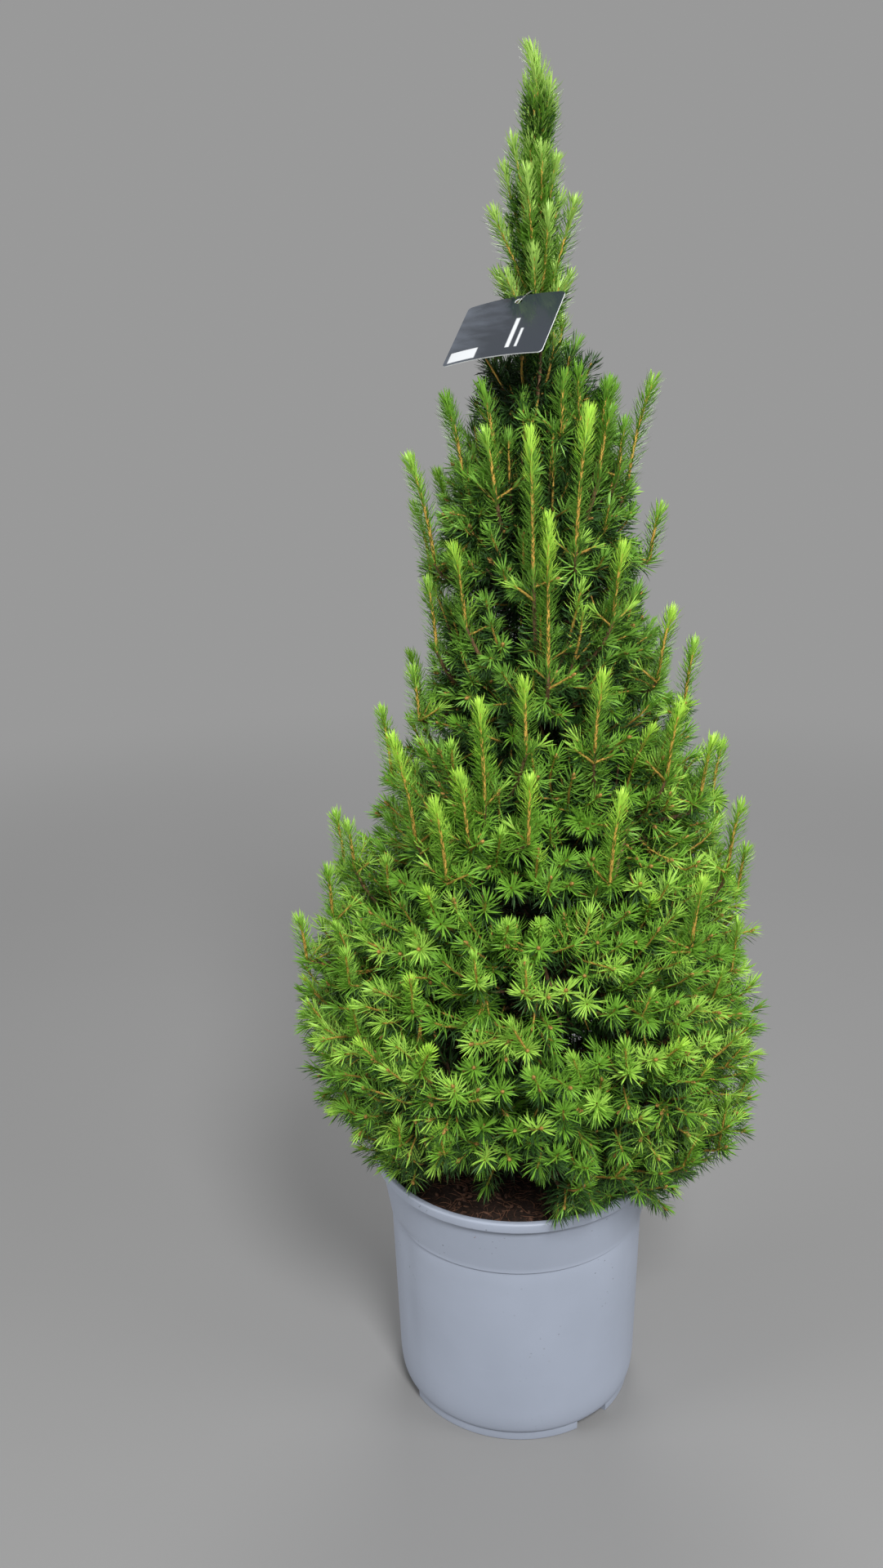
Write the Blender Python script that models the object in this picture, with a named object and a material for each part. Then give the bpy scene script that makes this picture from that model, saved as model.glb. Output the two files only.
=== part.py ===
"""A dwarf Alberta spruce in its nursery pot, from the underside of the pot to the tip of its leader.

Metres, Z up. The origin is the centre of the pot's flat underside. The front of the plant faces -Y,
and an azimuth is 0 degrees there and grows towards +X.

The crown is shared out among masses of foliage. Each mass keeps to its own space: a sector of azimuth
between two levels that rise away from the trunk like shallow funnels, out to the crown's outline.
A place in that space is given by how far it lies across the sector, from -1 to 1, its radius from the
trunk, and its share of the way from the lower level to the upper one, from 0 to 1.
"""
import random
from collections import namedtuple
from math import atan2, cos, exp, hypot, pi, radians, sin

import bmesh
import bpy
from mathutils import Matrix, Vector

MM = 0.001
GAP = 0.3 * MM
SEED = 41

# The pot: a turned vessel with a lip, a collar, and a foot that four drainage channels cut.
POT_HEIGHT = 230.2 * MM
RIM_RADIUS = 122.8 * MM
RIM_BAND = 8.5 * MM
RIM_OVERHANG = 4.0 * MM
COLLAR_HEIGHT = 176.4 * MM
COLLAR_RADIUS = 111.2 * MM
COLLAR_STEP = 1.0 * MM
HEEL_HEIGHT = 34 * MM
HEEL_RADIUS = 106.4 * MM
FOOT_RADIUS = 101.8 * MM
FOOT_HEIGHT = 9.0 * MM
WALL = 2.2 * MM
FLOOR = 2.6 * MM
POT_SIDES = 32
CHANNEL_SPREAD = radians(19)
CHANNEL_INNER_RADIUS = 58 * MM
CHANNEL_WALL_SPREAD = radians(2.0)
CHANNEL_AZIMUTHS = [radians(-17 + turn) for turn in (-126, -54, 54, 126)]
DRAIN_RADIUS = 6 * MM

# The soil: its height, its clearance from the wall, and how far its surface rises and falls.
SOIL_HEIGHT = 212 * MM
SOIL_CLEARANCE = 0.45 * MM
SOIL_RELIEF = 2.6 * MM

# The trunk: whole from the soil to the foot of this year's leader, with a slight lean to the right.
TRUNK_FOOT = SOIL_HEIGHT + GAP
TRUNK_TOP = 1045 * MM
TRUNK_BASE_RADIUS = 10.5 * MM
TRUNK_TOP_RADIUS = 1.7 * MM
FLARE_RADIUS = 6.0 * MM
FLARE_HEIGHT = 13 * MM
TRUNK_SIDES = 9
TRUNK_FOOT_OFFSET = 4 * MM
TRUNK_LEAN = 14 * MM
LEAN_HEIGHT = 500 * MM
TIP_SWAY = 4 * MM
SWAY_HEIGHT = 980 * MM

# The crown's outline: height, reach to the left and reach to the right of the trunk.
CROWN_OUTLINE = [[height * MM, left * MM, right * MM] for height, left, right in (
    (165, 118, 138), (235, 142, 162), (270, 168, 203), (320, 198, 207), (380, 207, 203), (430, 192, 192),
    (500, 155, 168), (560, 126, 147), (640, 95, 117), (700, 88, 98), (750, 92, 93), (810, 70, 68),
    (880, 54, 54), (925, 31, 30), (970, 31, 29), (1030, 21, 18), (1093, 7, 7))]
CROWN_TOP = 1093 * MM
# At the front the lowest twigs end short of the rim, and the soil shows.
FRONT_HEIGHT = 360 * MM
FRONT_SHARE = 0.80

# The levels between the tiers: height at the trunk, and rise for each metre out from it.
LEVELS = ((0.2375, 0.0), (0.262, 0.20), (0.332, 0.40), (0.427, 0.60), (0.538, 0.80), (0.648, 1.0),
          (0.772, 1.3), (0.932, 0.3), (1.0465, 0.0), (1.100, 0.0))
# The tiers from the pot up: how many masses, the azimuth of the first, the shares of the height at which
# rows of shoots stand with the number of shoots in each, a shoot's length, and the shares of the height
# at which the stem starts and ends.
Tier = namedtuple("Tier", "masses turn rows shoot stem")
TIERS = (
    Tier(6, radians(10), ((-0.75, 3), (0.32, 3), (0.80, 2)), 64 * MM, (0.5, 0.5)),
    Tier(5, radians(38), ((0.14, 3), (0.52, 2), (0.88, 3)), 70 * MM, (0.5, 0.5)),
    Tier(5, radians(2), ((0.14, 2), (0.52, 2), (0.88, 3)), 66 * MM, (0.5, 0.5)),
    Tier(4, radians(44), ((0.14, 2), (0.52, 2), (0.88, 3)), 62 * MM, (0.5, 0.5)),
    Tier(4, radians(0), ((0.14, 2), (0.52, 2), (0.88, 2)), 58 * MM, (0.4, 0.5)),
    Tier(3, radians(60), ((0.12, 2), (0.48, 3), (0.84, 2)), 54 * MM, (0.35, 0.5)),
    Tier(3, radians(0), ((0.18, 2), (0.48, 2), (0.82, 2)), 46 * MM, (0.3, 0.6)),
    Tier(3, radians(60), ((0.22, 1), (0.56, 2), (0.90, 1)), 36 * MM, (0.06, 0.70)),
)
BOUGH_TIERS = 4
BOUGH_SHARE = 0.34
RIM_CLEARANCE = 8 * MM
DROOP_HEIGHT = 163 * MM
SIDE_MARGIN = 1.2 * MM
LEVEL_MARGIN = 1.5 * MM
TRUNK_MARGIN = 1.2 * MM
# How much less a mass reaches at its sides than in its middle.
SIDE_FALL = 0.07

# The limbs inside the crown: a bough, then the stem of its mass, whose stations are given as a share of its
# length and of its radius. A stem that grows straight from the trunk is finer.
BOUGH_RADIUS = 4.6 * MM
BOUGH_THINNING = 0.08
STEM_RADIUS = 3.0 * MM
STEM_SHARE = 0.72
STEM_STATIONS = ((0, 1), (0.25, 0.9), (0.6, 0.75), (1, 0.5))
FINE_STEM = 0.62

# The core of a mass: its share of the mass's reach, its gap to the limb's end and to the sides of the
# sector, half its share of the height, how square it is, and how rough. Under the card every core ends.
CORE_SHARE = 0.67
CORE_INSET = 4 * MM
CORE_MARGIN = 3.5 * MM
CORE_RISE = 0.44
CORE_TOP = 868 * MM
CORE_POWER = 3
CORE_ROUGHNESS = 0.18

# The shoots. A shoot points more upright higher up the crown, and higher up its own mass.
TWIG_RADIUS = 2.0 * MM
TIP_RADIUS = 0.5 * MM
LEAVING_SHARE = 0.35
NEEDLE_LENGTH = 18 * MM
NEEDLE_SWEEP = 0.8
NEEDLE_VARIATION = (0.85, 1.05)
REACH_VARIATION = (0.94, 0.995)
ROW_SPREAD = 0.92
ROW_VARIATION = 0.08
LONE_VARIATION = 0.3
LENGTH_TRIES = (1, 0.86, 0.72, 0.58)
RISE_AT_RIM = radians(10)
RISE_GAIN = radians(60)
RISE_FAN = radians(34)
CLIMB_TOP = 0.8
RISE_VARIATION = 0.12
TURN_SPREAD = 1.05
TURN_VARIATION = 0.14

# Strong upright shoots that stand out of the crown: azimuth in degrees, then the height of the foot, the
# rise and the shift to the right in millimetres. The last ones stand at the back.
LEADERS = (
    (-6, 724, 96, 0), (16, 730, 96, 14), (84, 752, 98, 15), (-57, 782, 60, -10), (-90, 735, 66, -8),
    (33, 612, 86, 16), (81, 585, 70, 12), (-20, 556, 84, -8), (-45, 512, 88, -13), (17, 590, 66, 8),
    (41, 545, 70, 6), (-70, 455, 60, -10), (-104, 560, 74, -8), (150, 735, 90, 6), (196, 610, 84, -8),
    (128, 560, 78, 10), (228, 720, 80, -10), (166, 500, 74, 6), (110, 470, 66, 10),
)
LEADER_INSET = 5 * MM
LEADER_LEAN = 0.12
LEADER_CLEARANCE = 24 * MM
LEADER_NEEDLE = 13 * MM
LEADER_GIRTH = 1.15
TIP_NEEDLE = 11 * MM

# The card that hangs at the neck: its lowest corner, its two edges, its hole, and the tie that holds it.
CARD_CORNER = Vector((-52, -44, 877.5)) * MM
CARD_ALONG = Vector((66.6, -38.0, 8.6)) * MM
CARD_UP = Vector((20.7, 45.5, 40.5)) * MM
CARD_THICKNESS = 0.8 * MM
CARD_BOW = 2.5 * MM
CARD_HOLE_SHARE = 0.56
CARD_HOLE_INSET = 6 * MM
CARD_HOLE_RADIUS = 2.9 * MM
CARD_CLEARANCE = 1.6 * MM
TIE_RADIUS = 0.5 * MM
TIE_RISE = 5 * MM
TIE_SHIFT = 14 * MM
TIE_CLEARANCE = 1.2 * MM


def trunk_centre(height):
    """The point of the trunk's axis at a height."""
    share = min(1, max(0, (height - SOIL_HEIGHT) / LEAN_HEIGHT))
    across = TRUNK_FOOT_OFFSET + TRUNK_LEAN * sin(share * pi / 2)
    sway = max(0, height - SWAY_HEIGHT) / (CROWN_TOP - SWAY_HEIGHT)
    return Vector((across - TIP_SWAY * sway ** 2, 0, height))


def trunk_radius(height):
    """The trunk's radius at a height: an even taper and a flare at its foot."""
    share = min(1, max(0, (height - TRUNK_FOOT) / (TRUNK_TOP - TRUNK_FOOT)))
    taper = TRUNK_BASE_RADIUS + (TRUNK_TOP_RADIUS - TRUNK_BASE_RADIUS) * share ** 0.8
    return taper + FLARE_RADIUS * exp(-max(0, height - TRUNK_FOOT) / FLARE_HEIGHT)


def crown_reach(height, azimuth):
    """How far the crown reaches from the trunk at a height and an azimuth."""
    low = CROWN_OUTLINE[0]
    for high in CROWN_OUTLINE[1:]:
        if height <= high[0]:
            break
        low = high
    share = min(1, max(0, (height - low[0]) / max(high[0] - low[0], MM)))
    left = low[1] + (high[1] - low[1]) * share
    right = low[2] + (high[2] - low[2]) * share
    reach = left + (right - left) * (1 + sin(azimuth)) / 2
    lack = min(1, max(0, (FRONT_HEIGHT - height) / (FRONT_HEIGHT - POT_HEIGHT)))
    return reach * (1 - (1 - FRONT_SHARE) * lack * max(0, cos(azimuth)) ** 2)


def crown_point(azimuth, radius, height):
    """The point at an azimuth and a radius from the trunk's axis."""
    return trunk_centre(height) + Vector((radius * sin(azimuth), -radius * cos(azimuth), 0))


def crown_place(point):
    """A point's azimuth and radius from the trunk's axis."""
    offset = point - trunk_centre(point.z)
    return atan2(offset.x, -offset.y), hypot(offset.x, offset.y)


def level_height(level, radius):
    """The height of a level between two tiers at a radius."""
    height, rise = LEVELS[level]
    return height + rise * radius


class Mass:
    """The space that one mass of foliage keeps to, and the sizes of what grows there."""

    def __init__(self, level, index):
        self.level = level
        self.tier = TIERS[level]
        self.name = f"foliage_{level + 1}_{index + 1}"
        self.half = pi / self.tier.masses
        self.azimuth = self.tier.turn + index * 2 * self.half
        middle = self.height(0, self.tier.stem[0])
        self.has_bough = level < BOUGH_TIERS
        self.root = trunk_radius(middle) + GAP
        self.inner = self.root
        if self.has_bough:
            self.inner = BOUGH_SHARE * crown_reach(middle, self.azimuth)
        self.outer = self.outer_radius(0, 0.5)

    def height(self, radius, share):
        """The height at a share of the way from the tier's lower level to its upper one."""
        low = level_height(self.level, radius)
        return low + (level_height(self.level + 1, radius) - low) * share

    def point(self, across, radius, share):
        """The point at a place across the sector, a radius and a share of the height."""
        return crown_point(self.azimuth + across * self.half, radius, self.height(radius, share))

    def outer_radius(self, across, share):
        """The radius at which a line of the mass meets the crown's outline, less at the sides."""
        azimuth = self.azimuth + across * self.half
        radius = crown_reach(self.height(0, share), azimuth)
        for _ in range(12):
            radius = (radius + crown_reach(self.height(radius, share), azimuth)) / 2
        return radius * (1 - SIDE_FALL * across ** 2)

    def turn_of(self, azimuth):
        """How far an azimuth lies from the middle of the sector."""
        return (azimuth - self.azimuth + pi) % (2 * pi) - pi

    def holds(self, point, leader=False):
        """Whether a point lies in the mass's own space, clear of the pot, the trunk, card and tie."""
        azimuth, radius = crown_place(point)
        spare = self.half - abs(self.turn_of(azimuth))
        if spare < 0 or radius * sin(min(spare, pi / 2)) < SIDE_MARGIN:
            return False
        if radius < trunk_radius(point.z) + TRUNK_MARGIN:
            return False
        if card_distance(point) < CARD_CLEARANCE or tie_distance(point) < TIE_CLEARANCE:
            return False
        low = level_height(self.level, radius) + LEVEL_MARGIN
        if self.level == 0 and radius > RIM_RADIUS + RIM_CLEARANCE:
            low = DROOP_HEIGHT
        if point.z < low:
            return False
        reach = crown_reach(point.z, azimuth)
        if point.z < level_height(self.level + 1, radius) - LEVEL_MARGIN:
            return radius < reach
        return leader and radius > reach + 2 * MM

    def way_is_clear(self, start, end, leader=False):
        """Whether the mass holds every point of a straight line, tried each 2 mm."""
        steps = max(2, int((end - start).length / (2 * MM)))
        return all(self.holds(start.lerp(end, step / steps), leader) for step in range(1, steps + 1))

    def core_ends(self, across, share):
        """The radii between which the core lies, at a place across the sector and a share of the height."""
        return self.inner + CORE_INSET, CORE_SHARE * self.outer_radius(across, share)

    def core_spread(self, radius):
        """How far across the sector the core reaches at a radius."""
        return 1 - CORE_MARGIN / (self.half * radius)

    def core_point(self, place):
        """Bends a place in a unit cube, which gives across, outward and up, to the mass's space."""
        across, outward, up = place
        share = 0.5 + up * CORE_RISE
        inner, outer = self.core_ends(across, share)
        radius = inner + (outer - inner) * (outward + 1) / 2
        point = self.point(across * self.core_spread(radius), radius, share)
        point.z = min(point.z, CORE_TOP)
        return point

    def in_core(self, point):
        """Whether a point lies inside the core."""
        if self.level == len(TIERS) - 1 or point.z > CORE_TOP:
            return False
        azimuth, radius = crown_place(point)
        low = level_height(self.level, radius)
        share = (point.z - low) / (level_height(self.level + 1, radius) - low)
        across = self.turn_of(azimuth) / self.half / self.core_spread(radius)
        inner, outer = self.core_ends(across, share)
        outward = 2 * (radius - inner) / (outer - inner) - 1
        place = (across, outward, (share - 0.5) / CORE_RISE)
        return sum(abs(part) ** CORE_POWER for part in place) < 1


def card_frame():
    """The card's unit vectors along it, up it and out of its face, with its length and height."""
    along = CARD_ALONG.normalized()
    out = CARD_ALONG.cross(CARD_UP).normalized()
    up = out.cross(along)
    return along, up, out, CARD_ALONG.length, CARD_UP.dot(up)


CARD_FRAME = card_frame()


def card_bow(share):
    """How far the bowed card stands out at a share of its length."""
    return CARD_BOW * 4 * share * (1 - share)


def card_point(along_share, up_share):
    """A point of the card, from 0 to 1 along it and up it."""
    along, up, out, length, height = CARD_FRAME
    lift = out * card_bow(along_share)
    return CARD_CORNER + along * length * along_share + up * height * up_share + lift


def card_distance(point):
    """How far a point lies from the card."""
    along, up, out, length, height = CARD_FRAME
    offset = point - CARD_CORNER
    right, above = offset.dot(along), offset.dot(up)
    beyond = max(-right, right - length, -above, above - height, 0)
    lift = abs(offset.dot(out) - card_bow(min(1, max(0, right / length)))) - CARD_THICKNESS / 2
    return hypot(max(0, lift), beyond)


def tie_circle():
    """The tie's circle, through the card's hole, over its top edge and round behind the trunk."""
    along, _, _, _, height = CARD_FRAME
    hole = card_point(CARD_HOLE_SHARE, 1 - CARD_HOLE_INSET / height)
    over = card_point(CARD_HOLE_SHARE, 1 + TIE_RISE / height) + along * TIE_SHIFT
    middle = (hole + over) / 2
    half = (over - hole).length / 2
    side = (over - hole).normalized()
    trunk = trunk_centre(middle.z) - middle
    aside = trunk.dot(side)
    towards = (trunk - side * aside).normalized()
    room = trunk_radius(middle.z) + GAP + TIE_RADIUS
    far = trunk.length + room
    # The circle's far side is moved out until it lies just behind the trunk.
    for _ in range(20):
        offset = (far ** 2 - half ** 2) / (2 * far)
        radius = hypot(offset, half)
        far += room - (radius - hypot(trunk.dot(towards) - offset, aside))
    return middle + towards * offset, radius, towards, side


TIE_CIRCLE = tie_circle()


def tie_distance(point):
    """How far a point lies from the tie."""
    centre, radius, towards, side = TIE_CIRCLE
    offset = point - centre
    lift = offset.dot(towards.cross(side))
    flat = hypot(offset.dot(towards), offset.dot(side))
    return hypot(flat - radius, lift) - TIE_RADIUS


def make_material(name, colour, roughness):
    """A plain Principled material."""
    material = bpy.data.materials.new(name)
    material.use_nodes = True
    shader = material.node_tree.nodes["Principled BSDF"]
    shader.inputs["Base Color"].default_value = (*colour, 1)
    shader.inputs["Roughness"].default_value = roughness
    shader.inputs["Metallic"].default_value = 0
    return material


def make_object(name, bm, material=None, smooth_angle=None):
    """An object of the scene from a bmesh, which is freed."""
    mesh = bpy.data.meshes.new(name)
    bm.to_mesh(mesh)
    bm.free()
    if smooth_angle is not None:
        mesh.shade_smooth()
        mesh.set_sharp_from_angle(angle=smooth_angle)
    if material:
        mesh.materials.append(material)
    made = bpy.data.objects.new(name, mesh)
    bpy.context.scene.collection.objects.link(made)
    return made


def join_with(made, others, operation="UNION", solver="EXACT"):
    """One Boolean of an object with a collection, applied, and the collection's objects removed."""
    group = bpy.data.collections.new("others")
    bpy.context.scene.collection.children.link(group)
    for other in others:
        group.objects.link(other)
    boolean = made.modifiers.new("join", "BOOLEAN")
    boolean.operand_type = "COLLECTION"
    boolean.collection = group
    boolean.operation = operation
    boolean.solver = solver
    evaluated = made.evaluated_get(bpy.context.evaluated_depsgraph_get())
    mesh = bpy.data.meshes.new_from_object(evaluated)
    made.modifiers.clear()
    made.data = mesh
    for other in others:
        bpy.data.objects.remove(other)
    bpy.data.collections.remove(group)


def face_outwards(bm):
    """Turns every face of a closed shape outwards."""
    bm.normal_update()
    bmesh.ops.recalc_face_normals(bm, faces=bm.faces)


def spun(profile, sides, start=0.0, sweep=2 * pi):
    """A bmesh turned about Z from a profile of radius and height: a whole turn, or a closed sector."""
    bm = bmesh.new()
    verts = [bm.verts.new((radius * sin(start), -radius * cos(start), height)) for radius, height in profile]
    whole = sweep == 2 * pi
    if whole:
        geometry = verts + [bm.edges.new(pair) for pair in zip(verts, verts[1:])]
    else:
        geometry = [bm.faces.new(verts)]
    bmesh.ops.spin(bm, geom=geometry, cent=(0, 0, 0), axis=(0, 0, 1), angle=sweep, steps=sides,
                   use_merge=whole)
    bmesh.ops.remove_doubles(bm, verts=bm.verts, dist=0.001 * MM)
    face_outwards(bm)
    return bm


def limb(points, radii, sides, level=False):
    """A closed tapering tube through points, extruded ring by ring. A level tube keeps flat rings."""
    chord = (points[-1] - points[0]).normalized()
    base = chord.to_track_quat("Z", "Y")
    bm = bmesh.new()
    ring = bmesh.ops.create_circle(bm, cap_ends=True, segments=sides, radius=1)["verts"]
    flat = [vert.co.copy() for vert in ring]
    face = bm.faces[:][0]
    for step, (point, radius) in enumerate(zip(points, radii)):
        if step:
            made = bmesh.ops.extrude_face_region(bm, geom=[face])["geom"]
            if step > 1:
                bmesh.ops.delete(bm, geom=[face], context="FACES_ONLY")
            face = next(item for item in made if isinstance(item, bmesh.types.BMFace))
            ring = list(face.verts)
        way = points[min(len(points) - 1, step + 1)] - points[max(0, step - 1)]
        turn = Matrix() if level else (chord.rotation_difference(way.normalized()) @ base).to_matrix()
        for vert, place in zip(ring, flat):
            vert.co = point + turn @ (place * radius)
    face_outwards(bm)
    return bm


def inner_profile():
    """The pot's inner face, from the mouth down to the edge of its floor."""
    return ((RIM_RADIUS - 3.2 * MM, POT_HEIGHT),
            (RIM_RADIUS - RIM_OVERHANG - WALL, POT_HEIGHT - RIM_BAND),
            (COLLAR_RADIUS - WALL - COLLAR_STEP, COLLAR_HEIGHT),
            (HEEL_RADIUS - WALL, HEEL_HEIGHT),
            (FOOT_RADIUS - 1.8 * MM, 16 * MM),
            (FOOT_RADIUS - 2.2 * MM, FLOOR))


def inner_radius(height):
    """The pot's inner radius at a height."""
    profile = inner_profile()
    for (high_radius, high), (low_radius, low) in zip(profile, profile[1:]):
        if height >= low:
            return low_radius + (high_radius - low_radius) * (height - low) / (high - low)
    return profile[-1][0]


def channel_sector(azimuth, inner, outer, low, high, spare):
    """A closed sector of the pot's base, as wide as a channel and an angle to spare on each side."""
    half = CHANNEL_SPREAD / 2 + spare
    profile = ((inner, low), (outer, low), (outer, high), (inner, high))
    return spun(profile, 3, azimuth - half, 2 * half)


def make_pot(material):
    """The pot, with thin-walled drainage channels under its floor."""
    outside = ((0, 0), (FOOT_RADIUS, 0), (FOOT_RADIUS + 0.4 * MM, FOOT_HEIGHT),
               (FOOT_RADIUS + 1.8 * MM, FOOT_HEIGHT + 0.8 * MM), (HEEL_RADIUS, HEEL_HEIGHT),
               (COLLAR_RADIUS - COLLAR_STEP, COLLAR_HEIGHT - 1.5 * MM), (COLLAR_RADIUS, COLLAR_HEIGHT),
               (RIM_RADIUS - RIM_OVERHANG, POT_HEIGHT - RIM_BAND), (RIM_RADIUS, POT_HEIGHT - RIM_BAND),
               (RIM_RADIUS, POT_HEIGHT - 1.5 * MM), (RIM_RADIUS - 1.5 * MM, POT_HEIGHT))
    bm = spun([*outside, *inner_profile(), (0, FLOOR)], POT_SIDES)
    pot = make_object("pot", bm, material, radians(32))
    roof = FOOT_HEIGHT + WALL + 0.2 * MM
    bumps = [channel_sector(azimuth, CHANNEL_INNER_RADIUS - WALL, FOOT_RADIUS - 0.9 * MM, 1 * MM, roof,
                            CHANNEL_WALL_SPREAD) for azimuth in CHANNEL_AZIMUTHS]
    join_with(pot, [make_object("bump", bump) for bump in bumps])
    cutters = []
    for azimuth in CHANNEL_AZIMUTHS:
        channel = channel_sector(azimuth, CHANNEL_INNER_RADIUS, RIM_RADIUS, -5 * MM, FOOT_HEIGHT, 0)
        cutters.append(make_object("channel", channel))
        middle = Vector((sin(azimuth), -cos(azimuth), 0)) * (CHANNEL_INNER_RADIUS + FOOT_RADIUS) / 2
        drain = bmesh.new()
        bmesh.ops.create_cone(drain, cap_ends=True, segments=6, radius1=DRAIN_RADIUS, radius2=DRAIN_RADIUS,
                              depth=4 * WALL, matrix=Matrix.Translation(middle + Vector((0, 0, roof))))
        cutters.append(make_object("drain", drain))
    join_with(pot, cutters, "DIFFERENCE")


def make_soil(material):
    """The soil that fills the pot: flat round the trunk, lumpy from there to the wall."""
    heights = (FLOOR + GAP, 16 * MM, HEEL_HEIGHT, COLLAR_HEIGHT, SOIL_HEIGHT - 3 * MM)
    profile = [(0, FLOOR + GAP)] + [(inner_radius(height) - SOIL_CLEARANCE, height) for height in heights]
    top = inner_radius(SOIL_HEIGHT)
    profile += [(share * top, SOIL_HEIGHT) for share in (0.88, 0.62, 0.28, 0)]
    bm = spun(profile, POT_SIDES)
    rng = random.Random(SEED)
    for vert in bm.verts:
        if vert.co.z > SOIL_HEIGHT - MM and vert.co.xy.length > 0.3 * top:
            vert.co.z += rng.uniform(-1, 1) * SOIL_RELIEF
    bmesh.ops.triangulate(bm, faces=bm.faces)
    soil = make_object("soil", bm, material, radians(40))
    roof = FOOT_HEIGHT + WALL + 0.2 * MM + SOIL_CLEARANCE
    hollows = [channel_sector(azimuth, CHANNEL_INNER_RADIUS - WALL - SOIL_CLEARANCE, RIM_RADIUS, -1 * MM,
                              roof, CHANNEL_WALL_SPREAD + radians(0.45)) for azimuth in CHANNEL_AZIMUTHS]
    join_with(soil, [make_object("hollow", hollow) for hollow in hollows], "DIFFERENCE")


def make_trunk(material):
    """The whole trunk, with its flare at the soil."""
    rises = (0, 6, 14, 30, 70, 150, 280, 430, 600, 740)
    heights = [TRUNK_FOOT + rise * MM for rise in rises] + [TRUNK_TOP]
    points = [trunk_centre(height) for height in heights]
    radii = [trunk_radius(height) for height in heights]
    make_object("trunk", limb(points, radii, TRUNK_SIDES, level=True), material, radians(60))


def make_bough(mass, material):
    """The bough that carries a mass: a tapering limb from the trunk to the mass's stem."""
    radii = (mass.root, mass.root + 6 * MM, (mass.root + mass.inner) / 2, mass.inner)
    points = [mass.point(0, radius, mass.tier.stem[0]) for radius in radii]
    points[0].z = points[1].z
    thick = BOUGH_RADIUS * (1 - BOUGH_THINNING * mass.level)
    widths = [thick + (STEM_RADIUS - thick) * step / 3 for step in range(4)]
    bough = limb(points, widths, 5)
    make_object(mass.name.replace("foliage", "bough"), bough, material, radians(75))


def stem_point(mass, radius):
    """The point of a mass's stem at a radius."""
    start, end = mass.tier.stem
    share = (radius - mass.inner) / (STEM_SHARE * mass.outer - mass.inner)
    return mass.point(0, radius, start + (end - start) * share)


def make_stem(mass):
    """The stem of a mass, from its bough's tip or the trunk's side into the foliage."""
    root = mass.inner + (GAP if mass.has_bough else 0)
    length = STEM_SHARE * mass.outer - root
    points = [stem_point(mass, root + length * share) for share, _ in STEM_STATIONS]
    thick = STEM_RADIUS
    if not mass.has_bough:
        thick *= FINE_STEM
        points[0].z = points[1].z - 0.6 * MM
    return limb(points, [thick * girth for _, girth in STEM_STATIONS], 5)


def set_needles(bm, start, forward, length, is_clear):
    """Draws a needle out of each face of a twig that lies past a point, where its way is clear."""
    past = start.dot(forward) - 0.2 * MM
    bearing = [face for face in bm.faces
               if len(face.verts) == 4 and min(vert.co.dot(forward) for vert in face.verts) > past]
    for face in bmesh.ops.triangulate(bm, faces=bearing)["faces"]:
        face.normal_update()
        middle = face.calc_center_median()
        tip = middle + (face.normal + forward * NEEDLE_SWEEP).normalized() * length
        if is_clear(middle, tip):
            needle = bmesh.ops.poke(bm, faces=[face])["verts"][0]
            needle.co = tip


def make_shoot(mass, foot, tip, segments, needle_length, leader=False):
    """A twig that leaves the stem, turns at its foot and carries needles from there to its tip."""
    radius = crown_place(foot)[1]
    leaving = radius - LEAVING_SHARE * (tip - foot).length
    leaving = min(STEM_SHARE * mass.outer - 2 * MM, max(mass.inner + CORE_INSET, leaving))
    shares = [step / segments for step in range(segments + 1)]
    thick = TWIG_RADIUS * (LEADER_GIRTH if leader else 1)
    points = [stem_point(mass, leaving)] + [foot.lerp(tip, share) for share in shares]
    radii = [TWIG_RADIUS] + [thick + (TIP_RADIUS - thick) * share for share in shares]
    bm = limb(points, radii, 3)
    forward = (tip - foot).normalized()

    def is_clear(root, end):
        return mass.way_is_clear(root, end, leader) and not mass.in_core(end)

    set_needles(bm, foot, forward, needle_length, is_clear)
    return bm


def shoot_direction(mass, across, share, rng):
    """The way a shoot points: out of the crown and up, more upright higher up the crown."""
    height = mass.height(mass.outer_radius(across, share), share)
    climb = min(1, max(0, (height - POT_HEIGHT) / (CROWN_TOP - POT_HEIGHT)) / CLIMB_TOP)
    rise = RISE_AT_RIM + RISE_GAIN * climb + RISE_FAN * (share - 0.5)
    rise += rng.uniform(-RISE_VARIATION, RISE_VARIATION)
    azimuth = mass.azimuth + across * mass.half * TURN_SPREAD
    azimuth += rng.uniform(-TURN_VARIATION, TURN_VARIATION)
    return Vector((sin(azimuth) * cos(rise), -cos(azimuth) * cos(rise), sin(rise)))


def grow_shoots(mass, rng):
    """The twigs of a mass, row by row over its outer face. A twig that finds no room is left out."""
    shoots = []
    for share, count in mass.tier.rows:
        for column in range(count):
            vary = LONE_VARIATION if count == 1 else ROW_VARIATION
            across = ((column + 0.5) / count * 2 - 1) * ROW_SPREAD + rng.uniform(-vary, vary)
            reach = mass.outer_radius(across, share) * rng.uniform(*REACH_VARIATION)
            way = shoot_direction(mass, across, share, rng)
            needle = NEEDLE_LENGTH * rng.uniform(*NEEDLE_VARIATION)
            tip = mass.point(across, reach, share)
            for scale in LENGTH_TRIES:
                foot = tip - way * mass.tier.shoot * scale
                root = stem_point(mass, max(mass.inner, crown_place(foot)[1] / 2))
                if mass.way_is_clear(foot, tip.lerp(foot, 0.02)) and mass.way_is_clear(root, foot):
                    shoots.append(make_shoot(mass, foot, tip, 2, needle))
                    break
    return shoots


def line_gap(first, second):
    """Roughly how near two straight lines come to each other."""
    steps = [step / 8 for step in range(9)]
    return min((first[0].lerp(first[1], a) - second[0].lerp(second[1], b)).length
               for a in steps for b in steps)


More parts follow.
